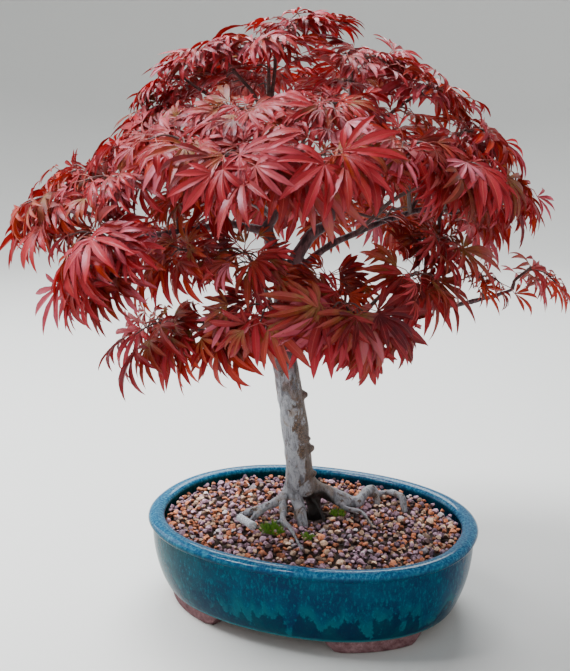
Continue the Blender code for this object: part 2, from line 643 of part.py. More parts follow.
def make_leaves(parts, routes):
    red = make_material("red_maple_leaf")
    places = {name: crown_point(place) for name, _, _, place, _ in SPRAYS}
    for name, _, _, _, spread in SPRAYS:
        centre = places[name]
        route = routes["twig_to_" + name][0]
        away = centre - route[0]
        heading = math.atan2(away.y, away.x)
        neighbours = [place for other, place in places.items() if other != name]
        wood = wood_near(centre, spread, routes, "twig_to_" + name)
        spray = add_object(name, spray_mesh(name, centre, heading, spread, neighbours, wood), parts, red)
        spray.location = centre
        skin = spray.modifiers.new("thickness", "SOLIDIFY")
        skin.thickness = LEAF_THICKNESS
        skin.offset = 0


def main():
    clear_scene()
    parts = new_collection("maple_bonsai_in_pot")
    cutters = new_collection("cutters")
    routes = wood_routes()
    root_room = make_root_room(routes)
    make_pot(parts, cutters)
    make_screens(parts, cutters)
    make_clips(parts)
    make_fillings(parts, cutters, root_room)
    make_tree(parts, routes)
    make_cut_root(parts)
    make_moss(parts, root_room)
    make_leaves(parts, routes)


main()
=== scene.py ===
"""Looks for the Japanese maple bonsai in its oval glazed pot. Metres, +Z up, in the CAD's frame."""

import math
import random

import bmesh
import bpy
import numpy as np
from mathutils import Matrix, Vector, noise


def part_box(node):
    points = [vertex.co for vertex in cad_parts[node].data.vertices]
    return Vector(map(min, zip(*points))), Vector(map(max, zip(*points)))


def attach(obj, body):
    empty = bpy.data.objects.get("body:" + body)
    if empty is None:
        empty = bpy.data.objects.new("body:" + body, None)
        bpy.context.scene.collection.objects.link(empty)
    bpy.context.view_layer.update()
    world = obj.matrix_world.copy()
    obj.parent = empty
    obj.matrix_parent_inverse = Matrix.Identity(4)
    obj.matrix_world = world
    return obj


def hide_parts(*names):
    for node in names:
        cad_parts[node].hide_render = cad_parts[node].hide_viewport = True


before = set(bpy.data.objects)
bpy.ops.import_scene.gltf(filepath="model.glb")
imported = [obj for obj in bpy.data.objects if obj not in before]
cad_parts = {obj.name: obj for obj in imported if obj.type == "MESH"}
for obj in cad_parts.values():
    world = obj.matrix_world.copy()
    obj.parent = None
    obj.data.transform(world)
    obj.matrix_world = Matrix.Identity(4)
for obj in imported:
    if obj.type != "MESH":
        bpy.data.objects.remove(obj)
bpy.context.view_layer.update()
noise.seed_set(5)   # without a seed, noise_vector takes one from the clock

# ---------- the design's own places, in metres ----------
POT_LOW, POT_HIGH = (Vector(corner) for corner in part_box("pot"))
POT_CENTRE = Vector(((POT_LOW.x + POT_HIGH.x) / 2, (POT_LOW.y + POT_HIGH.y) / 2, 0))
POT_LENGTH = POT_HIGH.x - POT_LOW.x
POT_WIDTH = POT_HIGH.y - POT_LOW.y
POT_HEIGHT = POT_HIGH.z
OVAL_POWER = 2.2
FOOT_HEIGHT = 0.012
FLOOR_TOP = 0.020
WALL = 0.009
RIM_WIDTH = 0.015
RIM_DEPTH = 0.009
LIP_OVERHANG = 0.004
BASE_INSET = 0.017
FOOT_INSET = 0.021
FOOT_WIDTH = 0.020
SOIL_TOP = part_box("grit_dressing")[1][2]
TREE_FOOT = POT_CENTRE + Vector((-0.010, 0, SOIL_TOP))

CROWN_HALF = Vector((0.230, 0.210, 0.454))   # half length, half width, and height over the soil
TRUNK = [(0.02, 0.055, 0.054), (0.02, 0.04, 0.075), (0.02, 0.01, 0.15), (0.00, -0.01, 0.25),
         (-0.02, -0.03, 0.33), (-0.03, -0.03, 0.38), (-0.02, -0.03, 0.44), (-0.02, -0.03, 0.51)]
BRANCHES = {  # name: (route in shares of the crown, radius at the start, radius at the end)
    "left_leader": ([(-0.02, -0.03, 0.50), (-0.08, -0.05, 0.59), (-0.06, -0.04, 0.62),
                     (-0.03, -0.03, 0.66), (-0.04, -0.06, 0.74), (-0.06, -0.08, 0.80)],
                    0.0062, 0.0026),
    "right_leader": ([(-0.02, -0.03, 0.50), (0.06, 0.01, 0.58), (0.13, 0.04, 0.61),
                      (0.16, 0.06, 0.66), (0.21, 0.05, 0.72), (0.22, 0.04, 0.77)], 0.0066, 0.0028),
    "right_branch": ([(-0.02, -0.03, 0.49), (0.10, 0.03, 0.55), (0.23, 0.09, 0.59),
                      (0.42, 0.16, 0.63), (0.54, 0.16, 0.64)], 0.0042, 0.0022),
    "left_branch": ([(-0.08, -0.05, 0.59), (-0.18, -0.18, 0.61), (-0.33, -0.32, 0.60),
                     (-0.47, -0.42, 0.59)], 0.0044, 0.0022),
    "front_branch": ([(-0.03, -0.03, 0.66), (0.04, -0.17, 0.68), (0.13, -0.34, 0.69),
                      (0.20, -0.46, 0.69)], 0.0040, 0.0022),
    "back_branch": ([(0.13, 0.04, 0.61), (0.07, 0.20, 0.62), (-0.02, 0.38, 0.61),
                     (-0.08, 0.54, 0.61)], 0.0040, 0.0022),
    "back_left_branch": ([(-0.06, -0.04, 0.62), (-0.20, 0.08, 0.64), (-0.38, 0.15, 0.64),
                          (-0.54, 0.14, 0.62)], 0.0040, 0.0022),
    "low_left_branch": ([(-0.02, -0.03, 0.40), (-0.13, -0.15, 0.42), (-0.24, -0.28, 0.41)],
                        0.0036, 0.0022),
    "low_front_branch": ([(-0.02, -0.03, 0.39), (0.00, -0.18, 0.44), (0.05, -0.34, 0.46)],
                         0.0034, 0.0022),
    "low_right_branch": ([(-0.02, -0.03, 0.42), (0.12, -0.11, 0.46), (0.25, -0.19, 0.48),
                          (0.36, -0.24, 0.46)], 0.0040, 0.0022),
    "sprig_branch": ([(-0.02, -0.03, 0.41), (0.25, 0.09, 0.425), (0.44, 0.18, 0.435),
                      (0.56, 0.23, 0.448), (0.69, 0.29, 0.462), (0.79, 0.33, 0.48)], 0.0034, 0.0018),
}
KNOBS = ((0.195, 25), (0.157, -14), (0.142, 8), (0.117, 20), (0.101, 34), (0.183, -50))   # height, bearing
ROOTS = {  # name: (route from the tree's foot, radius at the start, radius at the end)
    "crown": ([(-0.003, 0.010, 0.034), (0.002, 0.024, 0.012), (0.005, 0.029, -0.020)],
              0.0115, 0.0065),
    "left": ([(-0.012, 0.008, 0.030), (-0.018, -0.001, 0.016), (-0.032, -0.010, 0.008),
              (-0.042, -0.016, 0.005), (-0.057, -0.013, -0.003)], 0.0058, 0.0028),
    "left_prong": ([(-0.030, -0.009, 0.009), (-0.036, -0.020, 0.003), (-0.041, -0.026, -0.004)],
                   0.0034, 0.0024),
    "front_left": ([(-0.017, 0.000, 0.018), (-0.012, -0.014, 0.008), (-0.007, -0.025, 0.004),
                    (0.004, -0.033, 0.001), (0.026, -0.060, -0.004)], 0.0043, 0.0016),
    "centre": ([(-0.006, 0.004, 0.032), (-0.004, -0.001, 0.018), (0.003, -0.007, 0.008),
                (0.008, -0.011, -0.006)], 0.0066, 0.0050),
    "right": ([(-0.002, 0.012, 0.026), (0.012, 0.031, 0.016), (0.029, 0.035, 0.009),
               (0.042, 0.040, 0.006), (0.046, 0.058, 0.011), (0.051, 0.066, 0.010),
               (0.058, 0.060, -0.006)], 0.0090, 0.0030),
    "right_link": ([(0.046, 0.058, 0.011), (0.050, 0.080, 0.000), (0.056, 0.096, -0.003),
                    (0.070, 0.076, 0.006), (0.080, 0.066, 0.006), (0.084, 0.060, -0.006)],
                   0.0038, 0.0030),
    "right_thin": ([(0.012, 0.030, 0.012), (0.023, 0.031, 0.008), (0.038, 0.025, 0.004),
                    (0.052, 0.025, 0.003), (0.069, 0.010, -0.004)], 0.0034, 0.0018),
    "rootlet_middle": ([(0.003, 0.016, 0.014), (0.012, 0.014, 0.007), (0.021, 0.008, -0.004)],
                       0.0016, 0.0011),
    "rootlet_left": ([(-0.008, -0.024, 0.004), (-0.018, -0.028, 0.001), (-0.030, -0.034, -0.003)],
                     0.0013, 0.0011),
}
SPRAYS = {  # branch: (spray, the point of the route that its twig grows from)
    "left_leader": (("top_centre", 5), ("top_front", 5), ("top_left", 5), ("top_back_left", 4),
        ("upper_left", 4), ("upper_front_left", 3)),
    "right_leader": (("top_right", 5), ("top_back_right", 4), ("upper_right", 4)),
    "back_left_branch": (("upper_left_tip", 1), ("upper_left_back", 2), ("left_back", 3),
        ("back_left", 2), ("back_low_left", 3)),
    "left_branch": (("upper_left_edge", 2), ("left_shoulder", 3), ("left_tip", 3), ("left_front", 3),
        ("left_low", 3), ("left_inner", 1), ("left_inner_low", 1)),
    "front_branch": (("upper_front_right", 1), ("front_left", 2), ("front_centre", 3),
        ("front_right", 3)),
    "right_branch": (("upper_right_edge", 3), ("front_right_edge", 3), ("right_shoulder", 2),
        ("right_low", 4), ("right_middle", 4), ("right_tip", 4), ("right_back", 3),
        ("right_back_low", 3)),
    "low_front_branch": (("centre_low", 1), ("low_front", 2)),
    "low_left_branch": (("low_left", 2), ("low_left_inner", 1)),
    "low_right_branch": (("low_right_front", 3), ("low_right_drop", 3), ("low_right_edge", 3),
        ("low_right_inner", 1)),
    "sprig_branch": (("sprig_near", 4), ("sprig_tip", 5)),
    "back_branch": (("back_centre", 3), ("back_right", 2), ("back_low_right", 2), ("back_low", 3)),
}
TWIG_STARTS = {"leaves_" + spray: (branch, knot)
               for branch, sprays in SPRAYS.items() for spray, knot in sprays}


def crown_point(shares):
    """A place given in shares of the crown's half length, half width and height."""
    return Vector((shares[0] * CROWN_HALF.x, shares[1] * CROWN_HALF.y,
                   SOIL_TOP + shares[2] * CROWN_HALF.z))


HOLLOW = TREE_FOOT + Vector((0.004, 0.012, 0))   # under the front of the root crown
HOLLOW_DEPTH = 0.011


def root_point(place):
    return TREE_FOOT + Vector(place)


# ---------- shader helpers ----------
def new_material(name):
    material = bpy.data.materials.new(name)
    material.use_nodes = True
    return material, Graph(material.node_tree)


class Graph:
    """A short way to place nodes and link them."""

    def __init__(self, tree):
        self.tree = tree

    def node(self, kind, inputs=None, **settings):
        made = self.tree.nodes.new(kind)
        for key, value in settings.items():
            setattr(made, key, value)
        for key, value in (inputs or {}).items():
            self.feed(value, made.inputs[key])
        return made

    def feed(self, value, socket):
        if isinstance(value, bpy.types.NodeSocket):
            self.tree.links.new(value, socket)
        else:
            socket.default_value = value

    def shader(self):
        return self.tree.nodes["Principled BSDF"]

    def finish(self, colour, roughness, normal=None):
        """Feeds the material's own Principled shader and gives it back."""
        shader = self.shader()
        self.feed(colour, shader.inputs["Base Color"])
        self.feed(roughness, shader.inputs["Roughness"])
        if normal:
            self.feed(normal, shader.inputs["Normal"])
        return shader

    def output(self):
        return self.tree.nodes["Material Output"]

    def place(self, scale=(1, 1, 1)):
        """The place on the object in metres, stretched by a scale."""
        spot = self.node("ShaderNodeTexCoord").outputs["Object"]
        if scale == (1, 1, 1):
            return spot
        return self.node("ShaderNodeVectorMath", {0: spot, 1: scale}, operation="MULTIPLY").outputs[0]

    def noise(self, where, scale, detail=4.0, roughness=0.55, distortion=0.0):
        return self.node("ShaderNodeTexNoise", {"Vector": where, "Scale": scale, "Detail": detail,
                                                "Roughness": roughness,
                                                "Distortion": distortion}).outputs["Fac"]

    def cells(self, where, scale, output="Distance", feature="F1"):
        return self.node("ShaderNodeTexVoronoi", {"Vector": where, "Scale": scale},
                         feature=feature).outputs[output]

    def ramp(self, value, low, high):
        """Rises smoothly from 0 to 1 between low and high, or falls where low is the larger."""
        return self.node("ShaderNodeMapRange", {"Value": value, "From Min": low, "From Max": high},
                         interpolation_type="SMOOTHSTEP").outputs["Result"]

    def math(self, operation, first, second=0.0):
        return self.node("ShaderNodeMath", {0: first, 1: second}, operation=operation).outputs[0]

    def plus(self, first, second):
        return self.math("ADD", first, second)

    def minus(self, first, second):
        return self.math("SUBTRACT", first, second)

    def times(self, first, second):
        return self.math("MULTIPLY", first, second)

    def stray(self, value, reach):
        """How far a noise strays from its middle, to either side, times a reach."""
        return self.times(self.minus(value, 0.5), reach)

    def distance(self, where, point):
        return self.node("ShaderNodeVectorMath", {0: where, 1: tuple(point)},
                         operation="DISTANCE").outputs["Value"]

    def mix(self, share, first, second, blend="MIX"):
        made = self.node("ShaderNodeMix", data_type="RGBA", blend_type=blend)
        self.feed(share, made.inputs[0])
        self.feed(first, made.inputs[6])
        self.feed(second, made.inputs[7])
        return made.outputs[2]

    def bump(self, height, strength, distance=0.001, normal=None):
        made = self.node("ShaderNodeBump", {"Height": height, "Strength": strength,
                                            "Distance": distance})
        if normal:
            self.feed(normal, made.inputs["Normal"])
        return made.outputs["Normal"]

    def attribute(self, name, output="Fac"):
        return self.node("ShaderNodeAttribute", attribute_name=name).outputs[output]

    def group(self, tree, **inputs):
        made = self.node("ShaderNodeGroup", node_tree=tree)
        for key, value in inputs.items():
            self.feed(value, made.inputs[key.replace("_", " ").capitalize()])
        return made


def new_group(name, inputs, outputs):
    """An empty shader group with its sockets, given as name: (kind, default)."""
    tree = bpy.data.node_groups.new(name, "ShaderNodeTree")
    for key, (kind, default) in inputs.items():
        socket = tree.interface.new_socket(key, in_out="INPUT", socket_type=kind)
        socket.default_value = default
    for key, kind in outputs.items():
        tree.interface.new_socket(key, in_out="OUTPUT", socket_type=kind)
    graph = Graph(tree)
    return tree, graph, graph.node("NodeGroupInput"), graph.node("NodeGroupOutput")


def mottle_group():
    """Three tones laid over each other in patches of two sizes, with a height to match."""
    colour, number = "NodeSocketColor", "NodeSocketFloat"
    tree, graph, start, end = new_group(
        "mottle",
        {"Scale": (number, 100.0), "Fine scale": (number, 700.0), "Low tone": (colour, (0, 0, 0, 1)),
         "Middle tone": (colour, (0.5, 0.5, 0.5, 1)), "High tone": (colour, (1, 1, 1, 1))},
        {"Color": colour, "Height": number})
    where = graph.place()
    broad = graph.noise(where, start.outputs["Scale"], 5.0, 0.6)
    fine = graph.noise(where, start.outputs["Fine scale"], 3.0, 0.6)
    both = graph.plus(graph.times(broad, 0.65), graph.times(fine, 0.35))
    lower = graph.mix(graph.ramp(both, 0.38, 0.50), start.outputs["Low tone"],
                      start.outputs["Middle tone"])
    upper = graph.mix(graph.ramp(both, 0.50, 0.64), lower, start.outputs["High tone"])
    graph.feed(upper, end.inputs["Color"])
    graph.feed(both, end.inputs["Height"])
    return tree


MOTTLE = mottle_group()


RUNS_END = 0.0420   # the height that the glaze's runs come down to


def glaze_material():
    """Deep blue and turquoise glaze that has run down the sides, over bare pinkish clay."""
    material, graph = new_material("blue_turquoise_glaze")
    where = graph.place()
    axes = graph.node("ShaderNodeSeparateXYZ", {0: where}).outputs
    height = axes["Z"]

    # the glaze's own tones, greener towards the left end of the pot
    clouds = graph.noise(where, 30.0, 5.0, 0.62, 0.8)
    strokes = graph.noise(graph.place((1, 1, 0.45)), 430.0, 5.0, 0.68)
    tongues = graph.noise(graph.place((1, 1, 0.10)), 52.0, 1.0, 0.35)
    specks = graph.noise(where, 1300.0, 3.0, 0.7)
    greener_left_end = graph.ramp(axes["X"], 0.035, -0.120)
    deep = graph.mix(graph.ramp(clouds, 0.36, 0.62), (0.0005, 0.022, 0.066, 1), (0.0010, 0.046, 0.098, 1))
    green = graph.mix(graph.ramp(clouds, 0.40, 0.66), (0.0008, 0.036, 0.042, 1), (0.0022, 0.066, 0.066, 1))
    body = graph.mix(graph.times(greener_left_end, 0.90), deep, green)
    stroked = graph.mix(graph.times(graph.ramp(strokes, 0.50, 0.68), 0.85), body,
                        (0.0035, 0.115, 0.160, 1))
    speckled = graph.mix(graph.times(graph.ramp(specks, 0.56, 0.72), 0.6), stroked,
                         (0.008, 0.140, 0.175, 1))

    # paler tongues that ran down and stopped, darker glaze below them
    swing = graph.math("ABSOLUTE", graph.minus(tongues, 0.5))
    frayed = graph.stray(strokes, 0.020)
    sagging = graph.times(swing, 0.115)
    wavering = graph.stray(clouds, 0.030)
    fall = graph.plus(graph.plus(height, sagging), graph.plus(frayed, wavering))
    below = graph.ramp(fall, RUNS_END - 0.0005, RUNS_END - 0.0045)
    line = graph.times(graph.ramp(fall, RUNS_END - 0.0045, RUNS_END),
                       graph.ramp(fall, RUNS_END + 0.0170, RUNS_END))
    front = graph.minus(1.0, greener_left_end)
    fleck = graph.times(graph.ramp(clouds, 0.38, 0.56), 0.55)
    run = graph.mix(graph.times(graph.times(line, front), fleck), speckled, (0.004, 0.125, 0.145, 1))
    low = graph.mix(graph.ramp(clouds, 0.40, 0.64), (0.0004, 0.018, 0.046, 1), (0.0010, 0.040, 0.060, 1))
    lower = graph.mix(graph.times(below, graph.plus(0.25, graph.times(front, 0.6))), run, low)

    # paler on the rim, where the glaze breaks thin and a light-blue highlight is painted in, a bright hem at
    # the lower edge, and bare clay on the feet
    rim = graph.ramp(height, POT_HEIGHT - 0.0060, POT_HEIGHT - 0.0015)
    # painted highlight: this lighter blue on the rim stands in for light-blue highlights, over the glaze's
    # own paler edge
    rim_tone_and_highlight = graph.mix(graph.ramp(strokes, 0.40, 0.66), (0.004, 0.085, 0.230, 1), (0.060, 0.310, 0.480, 1))
    rim_highlighted = graph.mix(graph.times(rim, 0.75), lower, rim_tone_and_highlight)
    edge = graph.plus(height, graph.stray(clouds, 0.0035))
    hem = graph.times(graph.ramp(edge, FOOT_HEIGHT, FOOT_HEIGHT + 0.0012),
                      graph.ramp(edge, FOOT_HEIGHT + 0.0052, FOOT_HEIGHT + 0.0022))
    hemmed = graph.mix(graph.times(hem, 0.75), rim_highlighted, (0.016, 0.165, 0.190, 1))
    clay_share = graph.ramp(edge, FOOT_HEIGHT + 0.0008, FOOT_HEIGHT - 0.0002)
    clay = graph.group(MOTTLE, scale=160.0, fine_scale=1500.0, low_tone=(0.105, 0.050, 0.055, 1),
                       middle_tone=(0.190, 0.098, 0.105, 1), high_tone=(0.30, 0.175, 0.185, 1))
    colour = graph.mix(clay_share, hemmed, clay.outputs["Color"])

    rough = graph.plus(graph.times(clay_share, 0.60), graph.plus(0.10, graph.times(clouds, 0.22)))
    skin = graph.noise(where, 210.0, 3.0, 0.5)
    shader = graph.finish(colour, rough,
                          graph.bump(graph.plus(skin, graph.times(tongues, 1.2)), 0.14, 0.0014))
    glassy = graph.plus(0.05, graph.times(rim, 0.35))
    graph.feed(graph.times(graph.minus(1.0, clay_share), glassy), shader.inputs["Coat Weight"])
    shader.inputs["Coat Roughness"].default_value = 0.07
    shader.inputs["IOR"].default_value = 1.28
    shader.inputs["Specular IOR Level"].default_value = 0.12
    return material


ROUGH_SHADED_SIDE = (0.92, 0.39)     # the way that the trunk's rough, scabby side faces; it is also its shaded side, painted dark
TRUNK_LEAN = 0.105            # sideways for each metre up
BROWN_UP = (0.186, 0.248)     # heights between which the silver bark turns brown


def bark_material():
    """Silver-grey maple bark, brown up in the branches, with tan patches and dark scars, painted shade on one
    side and painted shade in the hollow under the roots.
    """
    material, graph = new_material("silver_maple_bark")
    where = graph.place()
    axes = graph.node("ShaderNodeSeparateXYZ", {0: where}).outputs
    height = axes["Z"]
    streaks = graph.noise(graph.place((1, 1, 0.35)), 190.0, 7.0, 0.66, 0.8)
    patches = graph.noise(where, 62.0, 5.0, 0.62, 0.9)
    scabs = graph.noise(graph.place((1, 1, 0.55)), 125.0, 6.0, 0.7, 0.5)
    grains = graph.noise(where, 1500.0, 4.0, 0.6)

    # silver with tan patches, and scabs that close up on the rough side; that side is also painted dark as
    # the shade of a trunk lit from the other side
    silver = graph.mix(graph.ramp(streaks, 0.34, 0.58), (0.125, 0.125, 0.145, 1), (0.400, 0.412, 0.450, 1))
    warm = graph.mix(graph.times(graph.ramp(patches, 0.52, 0.62), 0.60), silver,
                     (0.270, 0.195, 0.135, 1))
    across = graph.plus(graph.times(axes["X"], ROUGH_SHADED_SIDE[0]), graph.times(axes["Y"], ROUGH_SHADED_SIDE[1]))
    leaning = graph.plus(across, graph.times(height, TRUNK_LEAN))
    ragged = graph.plus(leaning, graph.stray(scabs, 0.060))
    rough_shaded_side = graph.times(graph.ramp(ragged, 0.0205, 0.0250),
                            graph.ramp(height, SOIL_TOP + 0.014, SOIL_TOP + 0.026))
    rough_bark_and_shade = graph.mix(graph.ramp(grains, 0.45, 0.57), (0.018, 0.011, 0.009, 1), (0.200, 0.110, 0.058, 1))
    scarred = graph.mix(graph.times(graph.ramp(scabs, 0.575, 0.615), 0.92), warm, rough_bark_and_shade)
    sided = graph.mix(graph.times(rough_shaded_side, 0.85), scarred, rough_bark_and_shade)

    # painted shade: dark in the hollow under the roots, where shade falls
    from_hollow = graph.distance(where, HOLLOW + Vector((0.002, 0.007, 0.002)))
    from_gap = graph.distance(where, HOLLOW + Vector((-0.013, -0.008, 0.004)))
    nearest = graph.math("MINIMUM", from_hollow, graph.plus(from_gap, 0.0115))
    hollow_shade = graph.ramp(graph.plus(nearest, graph.times(patches, 0.008)), 0.0265, 0.0215)
    hollow_shaded = graph.mix(graph.times(hollow_shade, 0.95), sided, (0.012, 0.008, 0.006, 1))

    # browner wood from the first fork up
    upper = graph.ramp(graph.plus(height, graph.stray(patches, 0.11)), *BROWN_UP)
    branch = graph.mix(graph.ramp(streaks, 0.38, 0.64), (0.030, 0.010, 0.014, 1), (0.170, 0.072, 0.082, 1))
    aged = graph.mix(upper, hollow_shaded, branch)
    colour = graph.mix(graph.times(graph.ramp(grains, 0.52, 0.34), 0.45), aged,
                       (0.030, 0.022, 0.020, 1))
    shape = graph.plus(streaks, graph.times(grains, 0.35))
    graph.finish(colour, graph.plus(0.42, graph.times(patches, 0.3)), graph.bump(shape, 0.75, 0.0012))
    return material


def twig_material():
    """Smooth young bark, dark red-brown with a paler bloom."""
    material, graph = new_material("young_red_bark")
    tones = graph.group(MOTTLE, scale=240.0, fine_scale=1600.0, low_tone=(0.030, 0.010, 0.009, 1),
                        middle_tone=(0.085, 0.030, 0.026, 1), high_tone=(0.17, 0.075, 0.062, 1))
    graph.finish(tones.outputs["Color"], graph.ramp(tones.outputs["Height"], -0.2, 1.0),
                 graph.bump(tones.outputs["Height"], 0.3, 0.0005))
    return material


def leaf_material():
    """Crimson maple leaf: paler ridge and side veins, green still in it near the stalk."""
    material, graph = new_material("crimson_maple_leaf")
    across_along = graph.node("ShaderNodeUVMap", uv_map="blade").outputs["UV"]
    parts = graph.node("ShaderNodeSeparateXYZ", {0: across_along})
    across = graph.math("ABSOLUTE", graph.minus(parts.outputs["X"], 0.5))
    along = parts.outputs["Y"]
    tint, green, young = graph.attribute("tint"), graph.attribute("green"), graph.attribute("young")
    patches = graph.noise(graph.place(), 130.0, 4.0, 0.6)

    # from dark wine inside the crown, where the tint holds painted shade, over rose, to a painted lilac sheen
    # of sky reflection on the leaves that get the most sun
    wine = graph.mix(graph.ramp(tint, 0.0, 0.45), (0.055, 0.001, 0.005, 1), (0.340, 0.009, 0.018, 1))
    rosy = graph.mix(graph.ramp(tint, 0.45, 0.85), wine, (0.530, 0.026, 0.044, 1))
    lilac = graph.mix(graph.times(graph.ramp(tint, 0.80, 1.0), 0.80), rosy, (0.590, 0.165, 0.240, 1))
    red = graph.mix(graph.times(graph.ramp(patches, 0.42, 0.70), 0.45), lilac, (0.430, 0.006, 0.012, 1))
    # orange on young leaves; the back, left and inner sprays get more of them as painted glow of leaves lit
    # from behind
    fresh = graph.mix(young, red, (0.62, 0.045, 0.006, 1))
    olive = graph.mix(graph.ramp(patches, 0.35, 0.65), (0.250, 0.072, 0.020, 1), (0.260, 0.165, 0.034, 1))
    near_stalk = graph.ramp(along, 0.60, 0.02)
    leafy = graph.mix(graph.times(green, graph.plus(0.45, near_stalk)), fresh, olive)

    # side veins slant off the ridge; the edge is darker
    side = graph.minus(graph.times(along, 15.0), graph.times(across, 7.0))
    vein = graph.ramp(graph.math("PINGPONG", side, 0.5), 0.13, 0.02)
    ridge = graph.ramp(across, 0.060, 0.015)
    lines = graph.math("MAXIMUM", graph.times(vein, 0.25), graph.times(ridge, 0.55))
    colour = graph.mix(lines, leafy, (0.62, 0.130, 0.100, 1))
    edge = graph.ramp(across, 0.34, 0.5)
    rimmed = graph.mix(graph.times(edge, 0.50), colour, (0.120, 0.002, 0.008, 1))

    relief = graph.minus(graph.times(patches, 0.5), lines)
    shader = graph.finish(rimmed, graph.plus(0.26, graph.times(patches, 0.20)),
                          graph.bump(relief, 0.45, 0.0007))
    shader.inputs["Specular IOR Level"].default_value = 0.45
    shader.inputs["Specular Tint"].default_value = (0.95, 0.70, 0.90, 1)
    glow = graph.node("ShaderNodeBsdfTranslucent",
                      {"Color": graph.mix(0.55, rimmed, (1.0, 0.060, 0.006, 1))})
    blend = graph.node("ShaderNodeMixShader", {0: 0.34, 1: shader.outputs[0], 2: glow.outputs[0]})
    graph.feed(blend.outputs[0], graph.output().inputs["Surface"])
    return material


def stalk_material():
    """Thin smooth leaf stalks, a brighter red than the twigs."""
    material, graph = new_material("red_leaf_stalk")
    tones = graph.group(MOTTLE, scale=300.0, fine_scale=1200.0, low_tone=(0.16, 0.012, 0.014, 1),
                        middle_tone=(0.30, 0.030, 0.028, 1), high_tone=(0.42, 0.10, 0.05, 1))
    graph.finish(tones.outputs["Color"], graph.ramp(tones.outputs["Height"], -0.6, 1.4),
                 graph.bump(tones.outputs["Height"], 0.2, 0.0004))
    return material


def grit_material(name, low, middle, high):
    """Broken lava: pitted, dull, and a slightly different tone on every grain."""
    material, graph = new_material(name)
    tint = graph.attribute("tint")
    tones = graph.group(MOTTLE, scale=420.0, fine_scale=2600.0, low_tone=low, middle_tone=middle,
                        high_tone=high)

    # each grain's own tone, and painted light and shade: lighter on its upper side, darker on its sides and
    # underside
    shade = graph.mix(tint, (0.62, 0.60, 0.64, 1), (2.35, 2.24, 2.22, 1))
    toned = graph.mix(1.0, tones.outputs["Color"], shade, "MULTIPLY")
    facing = graph.node("ShaderNodeNewGeometry").outputs["Normal"]
    upward = graph.ramp(graph.node("ShaderNodeSeparateXYZ", {0: facing}).outputs["Z"], -0.2, 0.75)
    lit_top_shaded_sides = graph.mix(upward, (0.15, 0.12, 0.12, 1), (1.25, 1.25, 1.25, 1))
    colour = graph.mix(1.0, toned, lit_top_shaded_sides, "MULTIPLY")
    pits = graph.cells(graph.place(), 1700.0)
    relief = graph.plus(tones.outputs["Height"], graph.times(pits, 0.8))
    graph.finish(colour, graph.plus(0.72, graph.times(tones.outputs["Height"], 0.25)),
                 graph.bump(relief, 0.6, 0.0008))
    return material


def moss_material():
    """Bright green, paler on some shoots than on others."""
    material, graph = new_material("bright_moss")
    tint = graph.attribute("tint")
    tones = graph.group(MOTTLE, scale=500.0, fine_scale=2500.0, low_tone=(0.016, 0.050, 0.006, 1),
                        middle_tone=(0.100, 0.240, 0.018, 1), high_tone=(0.32, 0.54, 0.06, 1))
    graph.finish(graph.mix(tint, tones.outputs["Color"], (0.16, 0.33, 0.03, 1)),
                 graph.plus(0.65, graph.times(tones.outputs["Height"], 0.3)))
    return material


def cut_root_material():
    """Dry pale root with long fibres."""
    material, graph = new_material("dry_cut_root")
    fibres = graph.noise(graph.place((1.0, 1.4, 5.0)), 420.0, 4.0, 0.6)
    colour = graph.mix(graph.ramp(fibres, 0.35, 0.65), (0.36, 0.39, 0.43, 1), (0.86, 0.92, 0.98, 1))
    graph.finish(colour, graph.plus(0.55, graph.times(fibres, 0.3)), graph.bump(fibres, 0.5, 0.0006))
    return material


def mottled_material(name, scale, tones, roughness, metallic=0.0, relief=0.4):
    """A plain finish in three tones for what lies hidden in the pot."""
    material, graph = new_material(name)
    low, middle, high = tones
    tone = graph.group(MOTTLE, scale=scale, fine_scale=8 * scale, low_tone=low, middle_tone=middle,
                       high_tone=high)
    shader = graph.finish(tone.outputs["Color"], graph.ramp(tone.outputs["Height"], 1.0 - 2 * roughness, 1.0),
                          graph.bump(tone.outputs["Height"], relief, 0.0008))
    shader.inputs["Metallic"].default_value = metallic
    return material


# ---------- mesh helpers ----------
def piece_from(name, verts, faces, materials, sharp=30.0, face_materials=None):
    """A shaded mesh object from points and faces, riding on the root body. Sharp is in degrees."""
    mesh = bpy.data.meshes.new(name)
    mesh.from_pydata(np.asarray(verts).tolist(), [], faces)
    for material in materials:
        mesh.materials.append(material)
    if face_materials is not None:
        mesh.polygons.foreach_set("material_index", face_materials)
    mesh.shade_smooth()
    mesh.set_sharp_from_angle(angle=math.radians(sharp))
    piece = bpy.data.objects.new(name, mesh)
    bpy.context.scene.collection.objects.link(piece)
    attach(piece, "root")
    return piece


def smooth_route(points, steps):
    """A smooth curve through a route's own points."""
    points = [Vector(point) for point in points]
    ends = [2 * points[0] - points[1]] + points + [2 * points[-1] - points[-2]]
    route = []
    for before, start, stop, after in zip(ends, ends[1:], ends[2:], ends[3:]):
        for step in range(steps):
            t = step / steps
            route.append(0.5 * (2 * start + (stop - before) * t
                                + (2 * before - 5 * start + 4 * stop - after) * t * t
                                + (3 * start - before - 3 * stop + after) * t ** 3))
    return route + [points[-1]]


class Body:
    """Points and faces gathered for one mesh."""

    def __init__(self):
        self.verts, self.faces, self.materials = [], [], []
        self.count = 0

    def add(self, verts, faces, material=0):
        self.verts.append(np.asarray(verts, float))
        self.faces.extend([tuple(self.count + index for index in face) for face in faces])
        self.materials.extend([material] * len(faces))
        self.count += len(verts)

    def points(self):
        return np.concatenate(self.verts)


def ring_faces(rings, sides):
    """Faces that join rings of points into one skin."""
    return [(ring * sides + side, ring * sides + (side + 1) % sides,
             (ring + 1) * sides + (side + 1) % sides, (ring + 1) * sides + side)
            for ring in range(rings - 1) for side in range(sides)]


def end_caps(rings, sides):
    return [tuple(reversed(range(sides))), tuple(range((rings - 1) * sides, rings * sides))]


